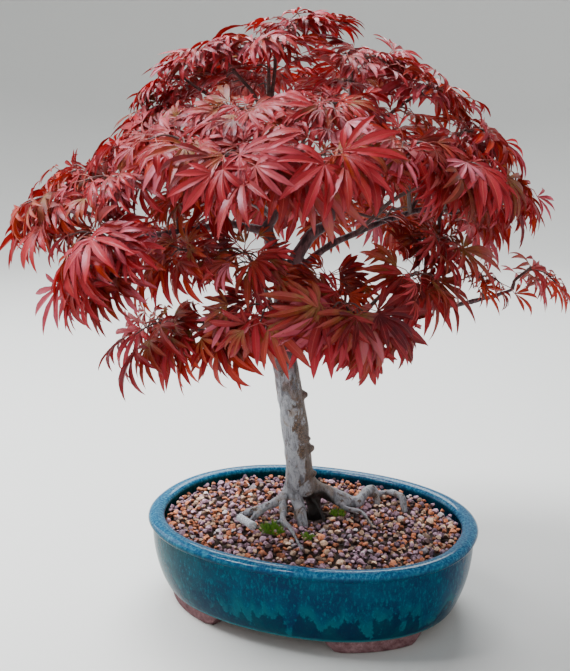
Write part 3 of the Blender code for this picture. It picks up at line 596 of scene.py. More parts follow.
def tube(route, radii, sides, wobble=0.0, seed=0.0):
    """Rings along a route with closed ends. Wobble makes the outline uneven."""
    route = [Vector(point) for point in route]
    verts = []
    across = (route[1] - route[0]).orthogonal().normalized()
    for index, (place, radius) in enumerate(zip(route, radii)):
        ahead = (route[min(index + 1, len(route) - 1)] - route[max(index - 1, 0)]).normalized()
        across = (across - across.dot(ahead) * ahead).normalized()
        other = ahead.cross(across)
        for side in range(sides):
            angle = 2 * math.pi * side / sides
            out = math.cos(angle) * across + math.sin(angle) * other
            bulge = 1 + wobble * noise.noise((place + radius * out) * 90 + Vector((seed, 0, 0)))
            verts.append(place + radius * bulge * out)
    return verts, ring_faces(len(route), sides) + end_caps(len(route), sides)


def eased(start, end, count, power=1.0):
    """Values from start to end, for a taper."""
    return [start + (end - start) * (step / (count - 1)) ** power for step in range(count)]


def set_attribute(piece, name, values):
    layer = piece.data.attributes.new(name, "FLOAT", "POINT")
    layer.data.foreach_set("value", np.asarray(values, np.float32))


def apply_modifiers(piece):
    graph = bpy.context.evaluated_depsgraph_get()
    mesh = bpy.data.meshes.new_from_object(piece.evaluated_get(graph))
    old = piece.data
    piece.modifiers.clear()
    piece.data = mesh
    bpy.data.meshes.remove(old)


# ---------- pot ----------
def oval_point(angle, inset):
    """A point of the pot's oval, a little squarer than an ellipse, drawn in by an inset."""
    bend = 2 / OVAL_POWER
    along = math.copysign(abs(math.cos(angle)) ** bend, math.cos(angle))
    across = math.copysign(abs(math.sin(angle)) ** bend, math.sin(angle))
    return Vector(((POT_LENGTH / 2 - inset) * along, (POT_WIDTH / 2 - inset) * across, 0)) + POT_CENTRE


def body_inset(height):
    """How far the wall stands in from the rim's outline: it swells out quickly over the feet."""
    neck = POT_HEIGHT - RIM_DEPTH
    share = (height - FOOT_HEIGHT) / (neck - FOOT_HEIGHT)
    return LIP_OVERHANG + (BASE_INSET - LIP_OVERHANG) * (1 - min(share, 1)) ** 2.5


def pot_sections():
    """Insets and heights from the middle of the base, up the outside and down to the inner floor."""
    neck = POT_HEIGHT - RIM_DEPTH
    sections = [(0.070, FOOT_HEIGHT), (0.030, FOOT_HEIGHT), (BASE_INSET + 0.0035, FOOT_HEIGHT),
                (BASE_INSET + 0.0012, FOOT_HEIGHT + 0.0004), (BASE_INSET - 0.0001, FOOT_HEIGHT + 0.0014)]
    for share in np.linspace(0.05, 1, 22):
        height = FOOT_HEIGHT + (neck - FOOT_HEIGHT) * share
        sections.append((body_inset(height), height + 0.0004))
    for turn in np.linspace(-math.pi / 4, math.pi, 26):
        inset = RIM_WIDTH / 2 * (1 - math.cos(turn))
        sections.append((inset, POT_HEIGHT - RIM_DEPTH * 0.55 * (1 - math.sin(turn))))
    for share in np.linspace(0, 1, 12):
        height = neck - (neck - FLOOR_TOP - WALL) * share
        sections.append((body_inset(height) + WALL, height))
    corner = body_inset(FLOOR_TOP) + WALL
    for step in range(1, 6):
        turn = math.pi / 2 * step / 5
        sections.append((corner + WALL * (1 - math.cos(turn)), FLOOR_TOP + WALL * (1 - math.sin(turn))))
    sections.append((0.070, FLOOR_TOP))
    return sections


POT_SIDES = 240
FOOT_BEARINGS = (47, 133, 227, 313)
DRAIN_HOLE_RADIUS = 0.010


def make_pot():
    """The fired body: its walls and rim turned from sections, its feet joined on, its drain holes cut."""
    sections = pot_sections()
    verts = []
    for inset, height in sections:
        for side in range(POT_SIDES):
            point = oval_point(2 * math.pi * (side + 0.5) / POT_SIDES, inset)
            away = (point - POT_CENTRE).normalized()
            wall = inset < 0.06
            uneven = 0.0004 * noise.noise(Vector((point.x, point.y, height)) * 28) if wall else 0.0
            verts.append(point + Vector((0, 0, height)) + uneven * away)
    faces = ring_faces(len(sections), POT_SIDES) + end_caps(len(sections), POT_SIDES)
    glaze = glaze_material()
    pot = piece_from("glazed_pot", verts, faces, [glaze], sharp=50)
    cutters = [make_foot(bearing) for bearing in FOOT_BEARINGS]
    for foot in cutters:
        join = pot.modifiers.new("foot", "BOOLEAN")
        join.operation, join.object = "UNION", foot
    for node in ("drainage_screen_left", "drainage_screen_right"):
        low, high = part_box(node)
        middle = ((low[0] + high[0]) / 2, (low[1] + high[1]) / 2, 0.018)
        bpy.ops.mesh.primitive_cylinder_add(vertices=64, radius=DRAIN_HOLE_RADIUS, depth=0.03,
                                            location=middle)
        hole = bpy.context.object
        cutters.append(hole)
        cut = pot.modifiers.new("hole", "BOOLEAN")
        cut.operation, cut.object = "DIFFERENCE", hole
    apply_modifiers(pot)
    for cutter in cutters:
        bpy.data.objects.remove(cutter)
    pot.data.materials.clear()
    pot.data.materials.append(glaze)
    pot.data.polygons.foreach_set("material_index", [0] * len(pot.data.polygons))
    pot.data.shade_smooth()
    pot.data.set_sharp_from_angle(angle=math.radians(38))
    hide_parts("pot")


def make_foot(bearing):
    """A long low foot that follows the oval. Its outer side and its ends slope in to the table."""
    steps, top = 28, FOOT_HEIGHT + 0.0027
    outline = [(-0.0020, top), (-0.0008, 0.0050), (0.0, 0.0016), (0.0006, 0.0006), (0.0018, 0.0),
               (FOOT_WIDTH - 0.0018, 0.0), (FOOT_WIDTH - 0.0006, 0.0006), (FOOT_WIDTH, 0.0016),
               (FOOT_WIDTH, top)]
    verts = []
    for step in range(steps + 1):
        share = 2 * step / steps - 1
        pinch = 0.0022 * max(0.0, abs(share) - 0.85) / 0.15
        for inset, height in outline:
            angle = math.radians(bearing + share * (19 + 6 * (height / top) ** 1.5))
            inward = pinch if inset < FOOT_WIDTH / 2 else -pinch
            verts.append(oval_point(angle, FOOT_INSET + inset + inward) + Vector((0, 0, height)))
    mesh = bpy.data.meshes.new("foot")
    mesh.from_pydata(verts, [], ring_faces(steps + 1, len(outline)) + end_caps(steps + 1, len(outline)))
    bm = bmesh.new()
    bm.from_mesh(mesh)
    bmesh.ops.recalc_face_normals(bm, faces=bm.faces)
    bm.to_mesh(mesh)
    bm.free()
    foot = bpy.data.objects.new("foot", mesh)
    bpy.context.scene.collection.objects.link(foot)
    return foot


# ---------- wood ----------
TRUNK_RADIUS = (0.0134, 0.0104)    # over the roots, and under the first fork
KNOB = ((0.0060, 0.0046), (0.0125, 0.0042), (0.0160, 0.0018))   # distance out from the middle, radius
TAPER = 0.8
SKIN_VOXEL = 0.00095


def make_wood():
    """Trunk, roots and branches grown into one skin, then roughened like bark."""
    body = Body()
    trunk = smooth_route([crown_point(point) for point in TRUNK], 8)
    body.add(*tube(trunk, eased(*TRUNK_RADIUS, len(trunk), TAPER), 28, 0.10))
    for height, bearing in KNOBS:
        middle = min(trunk, key=lambda point: abs(point.z - height))
        out = Vector((math.cos(math.radians(bearing)), math.sin(math.radians(bearing)), 0.1))
        body.add(*tube([middle + far * out for far, _ in KNOB], [radius for _, radius in KNOB],
                       12, 0.45, bearing))
    for index, (route, start, end) in enumerate(BRANCHES.values()):
        points = smooth_route([crown_point(point) for point in route], 8)
        wander(points, 0.0018, 17.0 + index)
        body.add(*tube(points, eased(start, end, len(points), TAPER), 16, 0.18, index))
    for index, (route, start, end) in enumerate(ROOTS.values()):
        points = smooth_route([root_point(point) for point in route], 8)
        body.add(*tube(points, eased(start, end, len(points), TAPER), 18, 0.30, 40 + index))
    wood = piece_from("trunk_roots_and_branches", body.points(), body.faces, [])
    skin = wood.modifiers.new("skin", "REMESH")
    skin.mode, skin.voxel_size, skin.adaptivity = "VOXEL", SKIN_VOXEL, 0.0
    soft = wood.modifiers.new("soften", "SMOOTH")
    soft.factor, soft.iterations = 0.5, 5
    apply_modifiers(wood)
    roughen(wood)
    wood.data.materials.append(bark_material())
    wood.data.shade_smooth()
    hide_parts("trunk_and_branches")


def wander(points, amount, seed):
    """Moves the inner points of a route a little off it, as a branch grows."""
    for index in range(1, len(points) - 1):
        ease = min(1.0, min(index, len(points) - 1 - index) / 5)
        points[index] = points[index] + ease * amount * noise.noise_vector(points[index] * 38
                                                                         + Vector((seed, 0, 0)))


THIN_WOOD_UP = 0.30


def roughen(wood):
    """Long ridges, lumps and small pits along the normals, weaker on the thin wood up in the crown."""
    mesh = wood.data
    count = len(mesh.vertices)
    places, normals = np.empty(count * 3), np.empty(count * 3)
    mesh.vertices.foreach_get("co", places)
    mesh.vertices.foreach_get("normal", normals)
    places, normals = places.reshape(-1, 3), normals.reshape(-1, 3)
    moves = np.empty(count)
    for index, place in enumerate(places):
        x, y, z = place
        strength = 1.0 if z < THIN_WOOD_UP else 0.45
        ridges = noise.fractal(Vector((x * 210, y * 210, z * 46)), 0.9, 2.1, 3)
        lumps = noise.noise(Vector((x * 75, y * 75, z * 60 + 9)))
        pits = noise.noise(Vector((x * 620, y * 620, z * 420)))
        moves[index] = strength * (0.00042 * ridges + 0.00070 * lumps + 0.00016 * pits)
    mesh.vertices.foreach_set("co", (places + normals * moves[:, None]).ravel())
    mesh.update()


# ---------- leaves ----------
LOBE_RINGS = 9
MIDDLE_LOBE = (0.0, 1.0)   # angle in degrees, share of the leaf's length
SIDE_LOBES = ((27.0, 0.96), (57.0, 0.76), (96.0, 0.44))
SMALL_LEAF = 0.034         # below this length a leaf has five lobes, not seven
BLADE_HALF_THICKNESS = 0.00016
WIDEST = 0.157             # the peak of the width curve below, which scales it to 1
CROWN_HEART = POT_CENTRE + Vector((-0.012, -0.004, 0.300))
CROWN_EDGE = Vector((0.247, 0.226, 0.247))   # the crown's half sizes round its heart, leaf tips included
SHADE_FROM, SHADE_FULL = 0.38, 0.68          # depths into the crown, as shares of its half sizes


def lobe(length, half_width, angle, fall, bow, fold):
    """One lobe as a closed thin blade: edges, ridge and underside on each ring, then the tip."""
    t = np.linspace(0, 1, LOBE_RINGS + 1)
    heading = angle + bow * t ** 2
    pitch = 0.12 - fall * t ** 1.5
    step = length / LOBE_RINGS
    ahead = np.stack([np.sin(heading) * np.cos(pitch), np.cos(heading) * np.cos(pitch),
                      np.sin(pitch)], 1)
    centre = np.concatenate([[[0, 0, 0]], np.cumsum(ahead[:-1] * step, 0)])
    side = np.stack([np.cos(heading), -np.sin(heading), np.zeros_like(t)], 1)
    up = np.cross(side, ahead)
    width = half_width * (0.10 * (1 - t) + t ** 1.5 * (1 - t) ** 1.2 / WIDEST)
    width[1:-1] *= 1 + 0.05 * (-1.0) ** np.arange(1, LOBE_RINGS)   # teeth along the edges
    out, lift = width[:, None] * math.cos(fold), width[:, None] * math.sin(fold)
    left, right = centre - side * out + up * lift, centre + side * out + up * lift
    thick = up * BLADE_HALF_THICKNESS
    rings = np.stack([left, centre + thick, right, centre - thick], 1)[:-1]
    verts = np.concatenate([rings.reshape(-1, 3), centre[-1:]])
    uv = [(u, v) for v in t[:-1] for u in (0.0, 0.5, 1.0, 0.5)] + [(0.5, 1.0)]
    return verts, uv


def lobe_faces():
    """The blade's root, its sides from ring to ring, and its tip."""
    faces = [(0, 1, 2, 3)]
    for ring in range(LOBE_RINGS - 1):
        for corner in range(4):
            after = (corner + 1) % 4
            faces.append((ring * 4 + corner, (ring + 1) * 4 + corner,
                          (ring + 1) * 4 + after, ring * 4 + after))
    last, tip = (LOBE_RINGS - 1) * 4, LOBE_RINGS * 4
    for corner in range(4):
        faces.append((last + corner, tip, last + (corner + 1) % 4))
    return faces


LOBE_FACES = lobe_faces()


def from_heart(place):
    """A place from the crown's heart, in shares of the crown's half sizes."""
    return Vector([(place[axis] - CROWN_HEART[axis]) / CROWN_EDGE[axis] for axis in range(3)])


def crown_slope(place):
    """The way the crown's surface faces at a place, never quite sideways."""
    away = from_heart(place).normalized()
    away.z = max(away.z, 0.28) + 0.12
    return away.normalized()


def sunless(place):
    """0 at the crown's surface, 1 deep inside it."""
    depth = 1 - from_heart(place).length
    return min(max((depth - SHADE_FROM) / (SHADE_FULL - SHADE_FROM), 0.0), 1.0)


def room_ahead(base, ahead, low, high):
    """How far a leaf can reach from base before it leaves the box between low and high."""
    room = 1.0
    for axis in range(3):
        if abs(ahead[axis]) > 0.01:
            edge = high[axis] if ahead[axis] > 0 else low[axis]
            room = min(room, (edge - base[axis]) / ahead[axis])
    return max(room, 0.0)


class Spray:
    """The leaves, leaf stalks and shoots at one twig's end."""

    def __init__(self, name):
        self.name, self.body = name, Body()
        self.uv, self.tint, self.green, self.young = [], [], [], []

    def pad(self, count, tint, green, young):
        self.tint += [tint] * count
        self.green += [green] * count
        self.young += [young] * count

    def leaf(self, base, ahead, face, size, draw, green, sun):
        """A palmate leaf at base, its middle lobe along ahead and its upper side towards face.

        It is darker where it gets less sun.
        """
        ahead = ahead.normalized()
        up = (face - face.dot(ahead) * ahead).normalized()
        turn = np.array(Matrix((ahead.cross(up), ahead, up)))
        tint = sun * draw.random() ** 0.8
        young = float(draw.random() < self.freshness) * draw.uniform(0.5, 1.0)
        plan = [MIDDLE_LOBE] + [(way * angle, share) for angle, share in SIDE_LOBES for way in (1, -1)]
        if size < SMALL_LEAF or draw.random() < 0.25:
            plan = plan[:5]
        fall, spread = draw.uniform(0.55, 1.45), draw.uniform(0.75, 1.12)
        for angle, share in plan:
            length = size * share * draw.uniform(0.86, 1.08)
            verts, uv = lobe(length, size * draw.uniform(0.068, 0.092) * (0.45 + 0.55 * share),
                             math.radians(angle * spread + draw.uniform(-7, 7)),
                             fall * draw.uniform(0.6, 1.4), draw.uniform(-0.4, 0.4),
                             math.radians(draw.uniform(14, 38)))
            self.body.add(verts @ turn + np.array(base), LOBE_FACES, 0)
            self.uv += uv
            self.pad(len(verts), tint, green, young)

    def stem(self, route, start, end, sides, material):
        verts, faces = tube(route, eased(start, end, len(route)), sides)
        self.body.add(verts, faces, material)
        self.uv += [(0.5, 0.5)] * len(verts)
        self.pad(len(verts), 0.5, 0.0, 0.0)


def twig_route(node, hub):
    """From the branch in an arch to just under the spray's hub."""
    branch, knot = TWIG_STARTS[node]
    start = crown_point(BRANCHES[branch][0][knot])
    inward = Vector((start.x - hub.x, start.y - hub.y, 0)).normalized()
    neck = hub + 0.014 * inward - Vector((0, 0, 0.0115))
    arch = start.lerp(neck, 0.5) + Vector((0, 0, 0.06 * (neck - start).length))
    route = smooth_route([start, arch, neck, hub - Vector((0, 0, 0.0015))], 6)
    wander(route, 0.0016, hub.x * 100)
    return route


TWIG_RADIUS = (0.0019, 0.0011)      # at the start, at the end
SHOOT_RADIUS = (0.00095, 0.00060)
STALK_RADIUS = (0.00045, 0.00035)


def grow_shoot(spray, start, heading, lift, length, draw, pairs):
    """A short side shoot with pairs of leaves along it and two at its end."""
    out = Vector((math.cos(heading), math.sin(heading), 0))
    end = start + length * out + Vector((0, 0, lift * length))
    middle = start.lerp(end, 0.5) + Vector((0, 0, 0.14 * length))
    route = smooth_route([start, middle, end], 4)
    spray.stem(route, *SHOOT_RADIUS, 6, 2)
    for share, angle in pairs:
        knot = route[round(share * (len(route) - 1))]
        for way in (1, -1):
            if share < 0.6 and draw.random() < 0.3:
                continue
            turned = heading + way * math.radians(angle + draw.uniform(-25, 25))
            grow_leaf(spray, knot, turned, draw)


def grow_leaf(spray, knot, heading, draw):
    """A leaf on its stalk. The blade lies along the crown's surface and hangs a little."""
    out = Vector((math.cos(heading), math.sin(heading), 0))
    slope = crown_slope(knot)
    down = Vector((slope.x * slope.z, slope.y * slope.z, slope.z * slope.z - 1))
    stalk = draw.uniform(0.008, 0.022)
    along = (out - out.dot(slope) * slope).normalized()
    base = knot + stalk * (0.8 * along + draw.uniform(-0.30, 0.42) * slope)
    bend = knot.lerp(base, 0.5) + 0.12 * stalk * slope
    spray.stem([knot, bend, base], *STALK_RADIUS, 5, 1)
    ahead = along + draw.uniform(0.05, 1.05) * down + draw.uniform(-0.20, 0.25) * slope
    ahead = ahead.normalized()
    size = spray.leaf_size * draw.uniform(0.58, 1.22)
    ahead.z = max(ahead.z, (spray.low.z - base.z) / size + 0.30)
    ahead = ahead.normalized()
    face = slope + Vector([draw.uniform(-0.50, 0.50) for _ in range(3)])
    size = max(min(size, room_ahead(base, ahead, spray.low, spray.high)), 0.55 * size)
    green = draw.uniform(0.55, 1.0) if draw.random() < spray.greenness else abs(draw.gauss(0.0, 0.15))
    inside = sunless(base + 0.5 * size * ahead)
    spray.leaf(base, ahead, face, size, draw, min(green, 1.0), 1.0 - 0.70 * inside)


END_PAIRS = ((0.40, 74), (0.72, 54), (1.0, 28))    # share of the shoot, degrees to either side
SIDE_PAIRS = ((0.55, 60), (1.0, 34))
SPRIG_PAIRS = ((0.5, 62), (1.0, 30))
END_SHOOTS = 3
HIGH_TWIG, HIGH_SIDE_SHOOTS = 0.42, (0.34, 0.52, 0.70, 0.86)   # hub's height, shares of the twig's length
RAISED_TWIG, RAISED_SIDE_SHOOTS = 0.34, (0.60, 0.82)
SPRIG_LEAF, INNER_LEAF, OUTER_LEAF = 0.042, 0.045, 0.043       # usual length of a leaf's middle lobe
SPRIG_REACH, CLOSE_REACH, REACH = 0.004, 0.005, 0.016          # how far leaves go past the CAD spray
CLOSE_SPRAYS = ("leaves_upper_left_tip", "leaves_right_tip", "leaves_left_inner_low",
                "leaves_centre_low")   # with open space beside them
CROWN_LEFT = CROWN_HEART.x - CROWN_EDGE.x + 0.007              # no leaf goes further left


def make_sprays():
    """Grows a twig to each spray's hub, and shoots with leaves out to the edges of its CAD solid."""
    leaf, stalk, young = leaf_material(), stalk_material(), twig_material()
    twigs = Body()
    for index, node in enumerate(sorted(TWIG_STARTS)):
        draw = random.Random(900 + index)
        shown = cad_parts[node]
        hub = max((vert.co for vert in shown.data.vertices), key=lambda co: co.z).copy()
        low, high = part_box(node)
        spread = 0.5 * max(high[0] - low[0], high[1] - low[1])
        spray = Spray(node)
        sprig, inner = "sprig" in node, "inner" in node or "low" in node
        spray.leaf_size = SPRIG_LEAF if sprig else INNER_LEAF if inner else OUTER_LEAF
        past = CLOSE_REACH if node in CLOSE_SPRAYS else SPRIG_REACH if sprig else REACH
        spray.low = Vector(low) - Vector((past, past, past + 0.010))
        spray.low.x = max(spray.low.x, CROWN_LEFT)
        spray.high = Vector(high) + Vector((past, past, 0.009 if hub.z < 0.50 else 0.004))
        spray.greenness = 0.42 if sprig or inner else 0.16
        # more orange leaves in the back, left and inner sprays: young leaves, and painted glow where leaves
        # are lit from behind
        spray.freshness = 0.40 if "inner" in node else 0.25 if hub.y > 0.015 or hub.x < -0.12 else 0.04
        route = twig_route(node, hub)
        twigs.add(*tube(route, eased(*TWIG_RADIUS, len(route)), 10, 0.12, index))
        away = hub - route[0]
        heading = math.atan2(away.y, away.x)
        for number in range(END_SHOOTS):
            fan = (number - (END_SHOOTS - 1) / 2) * math.radians(66) + draw.uniform(-0.3, 0.3)
            grow_shoot(spray, hub - Vector((0, 0, 0.004)), heading + fan, draw.uniform(-0.35, 0.05),
                       spread * draw.uniform(0.45, 0.80), draw, SPRIG_PAIRS if sprig else END_PAIRS)
        side_shoots = HIGH_SIDE_SHOOTS if hub.z > HIGH_TWIG else RAISED_SIDE_SHOOTS
        for share in side_shoots if hub.z > RAISED_TWIG else ():
            side = draw.choice((-1, 1)) * math.radians(draw.uniform(50, 110))
            start = route[round(share * (len(route) - 1))]
            grow_shoot(spray, start, heading + side, draw.uniform(-0.2, 0.35),
                       spread * draw.uniform(0.35, 0.60), draw, SIDE_PAIRS)
        for _ in range(3 if sprig else 7):
            grow_leaf(spray, hub - Vector((0, 0, 0.003)), heading + draw.uniform(-3.1, 3.1), draw)
        finish_spray(spray, [leaf, stalk, young], node)
    piece = piece_from("twigs", twigs.points(), twigs.faces, [young], sharp=60)
    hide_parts("trunk_and_branches")


def finish_spray(spray, materials, node):
    """One mesh with the blade's own map and each leaf's tones, in place of the CAD spray."""
    piece = piece_from("leafy_" + node[len("leaves_"):], spray.body.points(), spray.body.faces, materials,
                       sharp=26, face_materials=spray.body.materials)
    mesh = piece.data
    layer = mesh.uv_layers.new(name="blade")
    corners = np.empty(len(mesh.loops), np.int32)
    mesh.loops.foreach_get("vertex_index", corners)
    layer.data.foreach_set("uv", np.array(spray.uv, np.float32)[corners].ravel())
    for name, values in (("tint", spray.tint), ("green", spray.green), ("young", spray.young)):
        set_attribute(piece, name, values)
    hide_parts(node)


# ---------- grit, moss and the cut root ----------
def grain_shapes(count, seed):
    """Unit grains of broken stone: knocked-about icospheres with a few flat sides."""
    shapes = []
    draw = random.Random(seed)
    for number in range(count):
        bm = bmesh.new()
        bmesh.ops.create_icosphere(bm, subdivisions=2, radius=1)
        offset = Vector((number * 7.3, 0, 0))
        planes = [(Vector([draw.gauss(0, 1) for _ in range(3)]).normalized(), draw.uniform(0.50, 0.80))
                  for _ in range(9)]
        for vert in bm.verts:
            vert.co *= 1 + 0.22 * noise.noise(vert.co * 1.4 + offset)
            for normal, far in planes:
                beyond = vert.co.dot(normal) - far
                if beyond > 0:
                    vert.co -= 0.85 * beyond * normal
            vert.co *= 1 + 0.05 * noise.noise(vert.co * 4.0 + offset)
        points = np.array([vert.co for vert in bm.verts])
        faces = [tuple(vert.index for vert in face.verts) for face in bm.faces]
        shapes.append((points, faces))
        bm.free()
    return shapes


def wood_clearances():
    """Places along the roots with their radius, which the grains keep out of."""
    spots = []
    for route, start, end in ROOTS.values():
        points = smooth_route([root_point(point) for point in route], 6)
        spots += list(zip(points, eased(start, end, len(points))))
    return spots


GRIT_DEPTH = 0.0078
GRAIN_TRIES = 9000
GRAIN_RADIUS, GRAIN_SPREAD = 0.0028, 0.0008    # the usual radius, and how widely it varies
SMALLEST_GRAIN, LARGEST_GRAIN = 0.0015, 0.0050
INNER_WALL_INSET = 0.0145                      # from the pot's outline to the inside of its wall


def pile_grains():
    """Settles grains one by one on those already there, until the pot is filled to the soil's top."""
    draw = random.Random(5)
    floor = SOIL_TOP - GRIT_DEPTH
    spots = wood_clearances()
    cell, settled, grid = 0.008, [], {}
    half_x, half_y = POT_LENGTH / 2 - INNER_WALL_INSET, POT_WIDTH / 2 - INNER_WALL_INSET
    for _ in range(GRAIN_TRIES):
        x, y = draw.uniform(-half_x, half_x), draw.uniform(-half_y, half_y)
        radius = min(max(draw.gauss(GRAIN_RADIUS, GRAIN_SPREAD), SMALLEST_GRAIN), LARGEST_GRAIN)
        edge = (abs(x) / (half_x - radius)) ** OVAL_POWER + (abs(y) / (half_y - radius)) ** OVAL_POWER
        if edge > 1:
            continue
        x, y = x + POT_CENTRE.x, y + POT_CENTRE.y
        height = floor + radius
        column, row = int(x // cell), int(y // cell)
        for near in [(column + i, row + j) for i in (-1, 0, 1) for j in (-1, 0, 1)]:
            for other_x, other_y, other_z, other in grid.get(near, ()):
                gap = (0.90 * (radius + other)) ** 2 - (x - other_x) ** 2 - (y - other_y) ** 2
                if gap > 0:
                    height = max(height, other_z + math.sqrt(gap))
        place = Vector((x, y, height))
        away = (place - HOLLOW).xy
        dip = HOLLOW_DEPTH * max(0.0, 1 - (away.x / 0.024) ** 2 - (away.y / 0.019) ** 2)
        if height + 0.6 * radius > SOIL_TOP + 0.0012 - dip:
            continue
        if any((place - spot).length < thick + 0.55 * radius for spot, thick in spots):
            continue
        settled.append((x, y, height, radius))
        grid.setdefault((column, row), []).append(settled[-1])
    return settled


WHOLE_TURN = 6.28
GRIT_KINDS = (  # name, share of the grains, three tones
    ("mauve", 0.42, (0.120, 0.070, 0.094, 1), (0.310, 0.200, 0.255, 1), (0.54, 0.40, 0.47, 1)),
    ("rust", 0.28, (0.150, 0.046, 0.024, 1), (0.430, 0.150, 0.070, 1), (0.64, 0.290, 0.15, 1)),
    ("tan", 0.21, (0.200, 0.130, 0.085, 1), (0.440, 0.300, 0.200, 1), (0.66, 0.52, 0.39, 1)),
    ("dark", 0.07, (0.020, 0.012, 0.011, 1), (0.090, 0.055, 0.052, 1), (0.20, 0.13, 0.12, 1)),
    ("pale", 0.02, (0.30, 0.27, 0.28, 1), (0.52, 0.48, 0.49, 1), (0.72, 0.69, 0.69, 1)),
)


def make_grit():
    """One mesh for each kind of lava, with dark grains put under the roots as painted shade."""
    draw = random.Random(11)
    shapes = grain_shapes(14, 3)
    grains = pile_grains()
    kinds = draw.choices(range(len(GRIT_KINDS)), [kind[1] for kind in GRIT_KINDS], k=len(grains))
    dark = [kind[0] for kind in GRIT_KINDS].index("dark")
    # painted shade: most grains in the hollow under the roots are of the dark kind
    for number, (x, y, _, _) in enumerate(grains):
        if abs(x - HOLLOW.x + 0.003) < 0.023 and abs(y - HOLLOW.y) < 0.017 and draw.random() < 0.9:
            kinds[number] = dark
    for number, (name, _, low, middle, high) in enumerate(GRIT_KINDS):
        body, tints = Body(), []
        for (x, y, z, radius), kind in zip(grains, kinds):
            if kind != number:
                continue
            points, faces = draw.choice(shapes)
            stretch = np.array([draw.uniform(0.85, 1.25), draw.uniform(0.85, 1.15), draw.uniform(0.75, 1.0)])
            turn = np.array(Matrix.Rotation(draw.uniform(0, WHOLE_TURN), 3, "Z")
                            @ Matrix.Rotation(draw.uniform(-0.7, 0.7), 3, "X"))
            body.add((points * stretch * radius * 1.06) @ turn + np.array((x, y, z)), faces)
            tints += [draw.random()] * len(points)
        piece = piece_from("grit_" + name, body.points(), body.faces,
                           [grit_material("lava_grit_" + name, low, middle, high)], sharp=22)
        set_attribute(piece, "tint", tints)
        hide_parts("grit_dressing")


SHOOTS_PER_M2 = 8.0e6
MOSS_SHOOT = (0.00020, 0.00048, 0.00006)   # radius at the foot, neck and tip


def make_moss():
    """Each clump is a bed of short leafy shoots."""
    green = moss_material()
    for index, node in enumerate(("moss_clump_left", "moss_clump_front", "moss_clump_right")):
        low, high = (Vector(corner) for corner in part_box(node))
        middle, half = (low + high) / 2, (high - low) / 2
        draw = random.Random(70 + index)
        body, tints = Body(), []
        for _ in range(int(SHOOTS_PER_M2 * half.x * half.y)):
            angle, far = draw.uniform(0, 2 * math.pi), math.sqrt(draw.random())
            if noise.noise(Vector((far * math.cos(angle), far * math.sin(angle), index)) * 3.4) < -0.02:
                continue
            x, y = middle.x + half.x * far * math.cos(angle), middle.y + half.y * far * math.sin(angle)
            dome = math.sqrt(max(0.0, 1 - far * far))
            foot = Vector((x, y, low.z - 0.001))
            tuft = 0.5 + noise.noise(Vector((x * 330, y * 330, index)))
            lean = Vector((math.cos(angle) * far, math.sin(angle) * far, 0)) * 0.0020
            jitter = Vector((draw.uniform(-1, 1), draw.uniform(-1, 1), 0)) * 0.0009
            rise = (0.0010 + (0.35 + dome) * (high.z - low.z) * tuft) * draw.uniform(0.45, 1.60)
            tip = foot + lean + jitter * 2 + Vector((0, 0, rise))
            neck = foot.lerp(tip, 0.6) + jitter
            verts, faces = tube([foot, neck, tip], MOSS_SHOOT, 5)
            body.add(verts, faces)
            tints += [draw.random()] * len(verts)
        piece = piece_from("moss_" + node.split("_")[-1], body.points(), body.faces, [green],
                           sharp=70)
        set_attribute(piece, "tint", tints)
        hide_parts(node)


STUB_ENDS = ((-0.050, -0.028, 0.0015), (-0.029, -0.043, 0.0025))
STUB_RADIUS = 0.0042


def make_cut_root():
    """A short sawn length of root: waisted, ridged, with slightly worn ends."""
    start, end = (root_point(place) for place in STUB_ENDS)
    shares = [step / 25 for step in range(26)]
    points = [start.lerp(end, share) for share in shares]
    radii = []
    for share in shares:
        waist, worn = 0.10 * math.sin(math.pi * share), 0.25 * max(0, abs(share - 0.5) - 0.46) / 0.04
        radii.append(STUB_RADIUS * (1 - waist - worn))
    verts, faces = tube(points, radii, 26, 0.22, 3.0)
    piece = piece_from("sawn_root", verts, faces, [cut_root_material()], sharp=50)
    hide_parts("cut_root_stub")


def dress_hidden_nodes():
    """Finishes for the CAD nodes that stay as they are."""
    soil = mottled_material("dark_bonsai_soil", 300.0, ((0.020, 0.011, 0.008, 1), (0.060, 0.035, 0.024, 1),
                                                        (0.14, 0.09, 0.06, 1)), 0.9, 0.0, 0.9)
    pumice = mottled_material("cream_pumice", 260.0, ((0.22, 0.18, 0.13, 1), (0.42, 0.37, 0.29, 1),
                                                      (0.62, 0.58, 0.50, 1)), 0.9, 0.0, 0.9)
    plastic = mottled_material("black_screen_plastic", 400.0, ((0.010, 0.010, 0.010, 1),
                                                               (0.018, 0.018, 0.018, 1),
                                                               (0.035, 0.034, 0.032, 1)), 0.45)
    wire = mottled_material("dull_aluminium_wire", 500.0, ((0.38, 0.36, 0.34, 1), (0.55, 0.53, 0.50, 1),
                                                           (0.66, 0.65, 0.63, 1)), 0.4, 1.0, 0.2)
    finishes = {"soil_mix": soil, "drainage_layer": pumice, "drainage_screen_left": plastic,
                "drainage_screen_right": plastic, "screen_clip_left": wire, "screen_clip_right": wire}
    for node, finish in finishes.items():
        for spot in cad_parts[node].material_slots:
            spot.material = finish


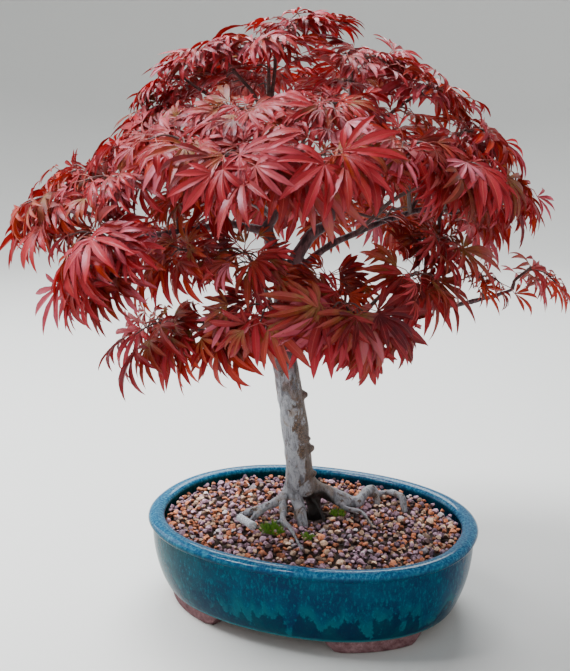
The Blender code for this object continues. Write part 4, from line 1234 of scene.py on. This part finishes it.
# ---------- floor, light and camera ----------
def make_stage():
    """A round pale floor that sweeps up into a wall, open to the sky, with soft window light."""
    sides = 96
    outline = [(0.001, 0.0), (1.0, 0.0), (2.2, 0.0)]
    outline += [(2.2 + 1.4 * math.sin(turn), 1.4 - 1.4 * math.cos(turn))
                for turn in np.linspace(0.1, math.pi / 2, 16)]
    outline += [(3.6, 2.4)]
    verts = [(far * math.cos(2 * math.pi * side / sides), far * math.sin(2 * math.pi * side / sides), z)
             for far, z in outline for side in range(sides)]
    material, graph = new_material("pale_floor")
    graph.shader().inputs["Base Color"].default_value = (0.74, 0.73, 0.70, 1)
    graph.shader().inputs["Roughness"].default_value = 0.85
    mesh = bpy.data.meshes.new("floor")
    mesh.from_pydata(verts, [], ring_faces(len(outline), sides) + [tuple(range(sides))])
    mesh.materials.append(material)
    mesh.shade_smooth()
    floor = bpy.data.objects.new("floor", mesh)
    bpy.context.scene.collection.objects.link(floor)
    world = bpy.data.worlds.new("pale_room")
    world.use_nodes = True
    back = world.node_tree.nodes["Background"]
    back.inputs["Color"].default_value = (0.86, 0.92, 1.0, 1)
    back.inputs["Strength"].default_value = 0.40
    bpy.context.scene.world = world
    add_light("sky_left_above", (-0.75, -0.35, 1.8), 0.7, 72, (0.95, 0.98, 1.0))
    add_light("window_behind", (-0.5, 1.5, 1.9), 1.4, 60, (0.93, 0.97, 1.0))
    add_light("window_left", (-1.7, 0.1, 1.0), 1.2, 12, (0.93, 0.97, 1.0))
    add_light("front_fill", (0.7, -1.9, 1.0), 1.2, 4, (1.0, 0.97, 0.93))


def add_light(name, place, size, power, colour):
    light = bpy.data.lights.new(name, "AREA")
    light.size, light.energy, light.color = size, power, colour
    lamp = bpy.data.objects.new(name, light)
    lamp.location = place
    lamp.rotation_euler = (Vector((0, 0, 0.25)) - Vector(place)).to_track_quat("-Z", "Y").to_euler()
    bpy.context.scene.collection.objects.link(lamp)


CAMERA_PLACE = POT_CENTRE + Vector((0.3153, -0.8075, 0.4474))
CAMERA_TURN, CAMERA_TILT = 22.9, 12.74   # degrees round to the right, and down
CAMERA_LENS = 53.07


def make_camera():
    """Stands 0.87 m off, 23 degrees round to the right of the pot's front, and looks a little down."""
    camera = bpy.data.cameras.new("camera")
    camera.lens = CAMERA_LENS
    camera.clip_start = 0.01
    holder = bpy.data.objects.new("camera", camera)
    holder.location = CAMERA_PLACE
    holder.rotation_euler = (math.pi / 2 - math.radians(CAMERA_TILT), 0, math.radians(CAMERA_TURN))
    bpy.context.scene.collection.objects.link(holder)
    bpy.context.scene.camera = holder


make_camera()
make_stage()
dress_hidden_nodes()
make_pot()
make_wood()
make_sprays()
make_grit()
make_moss()
make_cut_root()
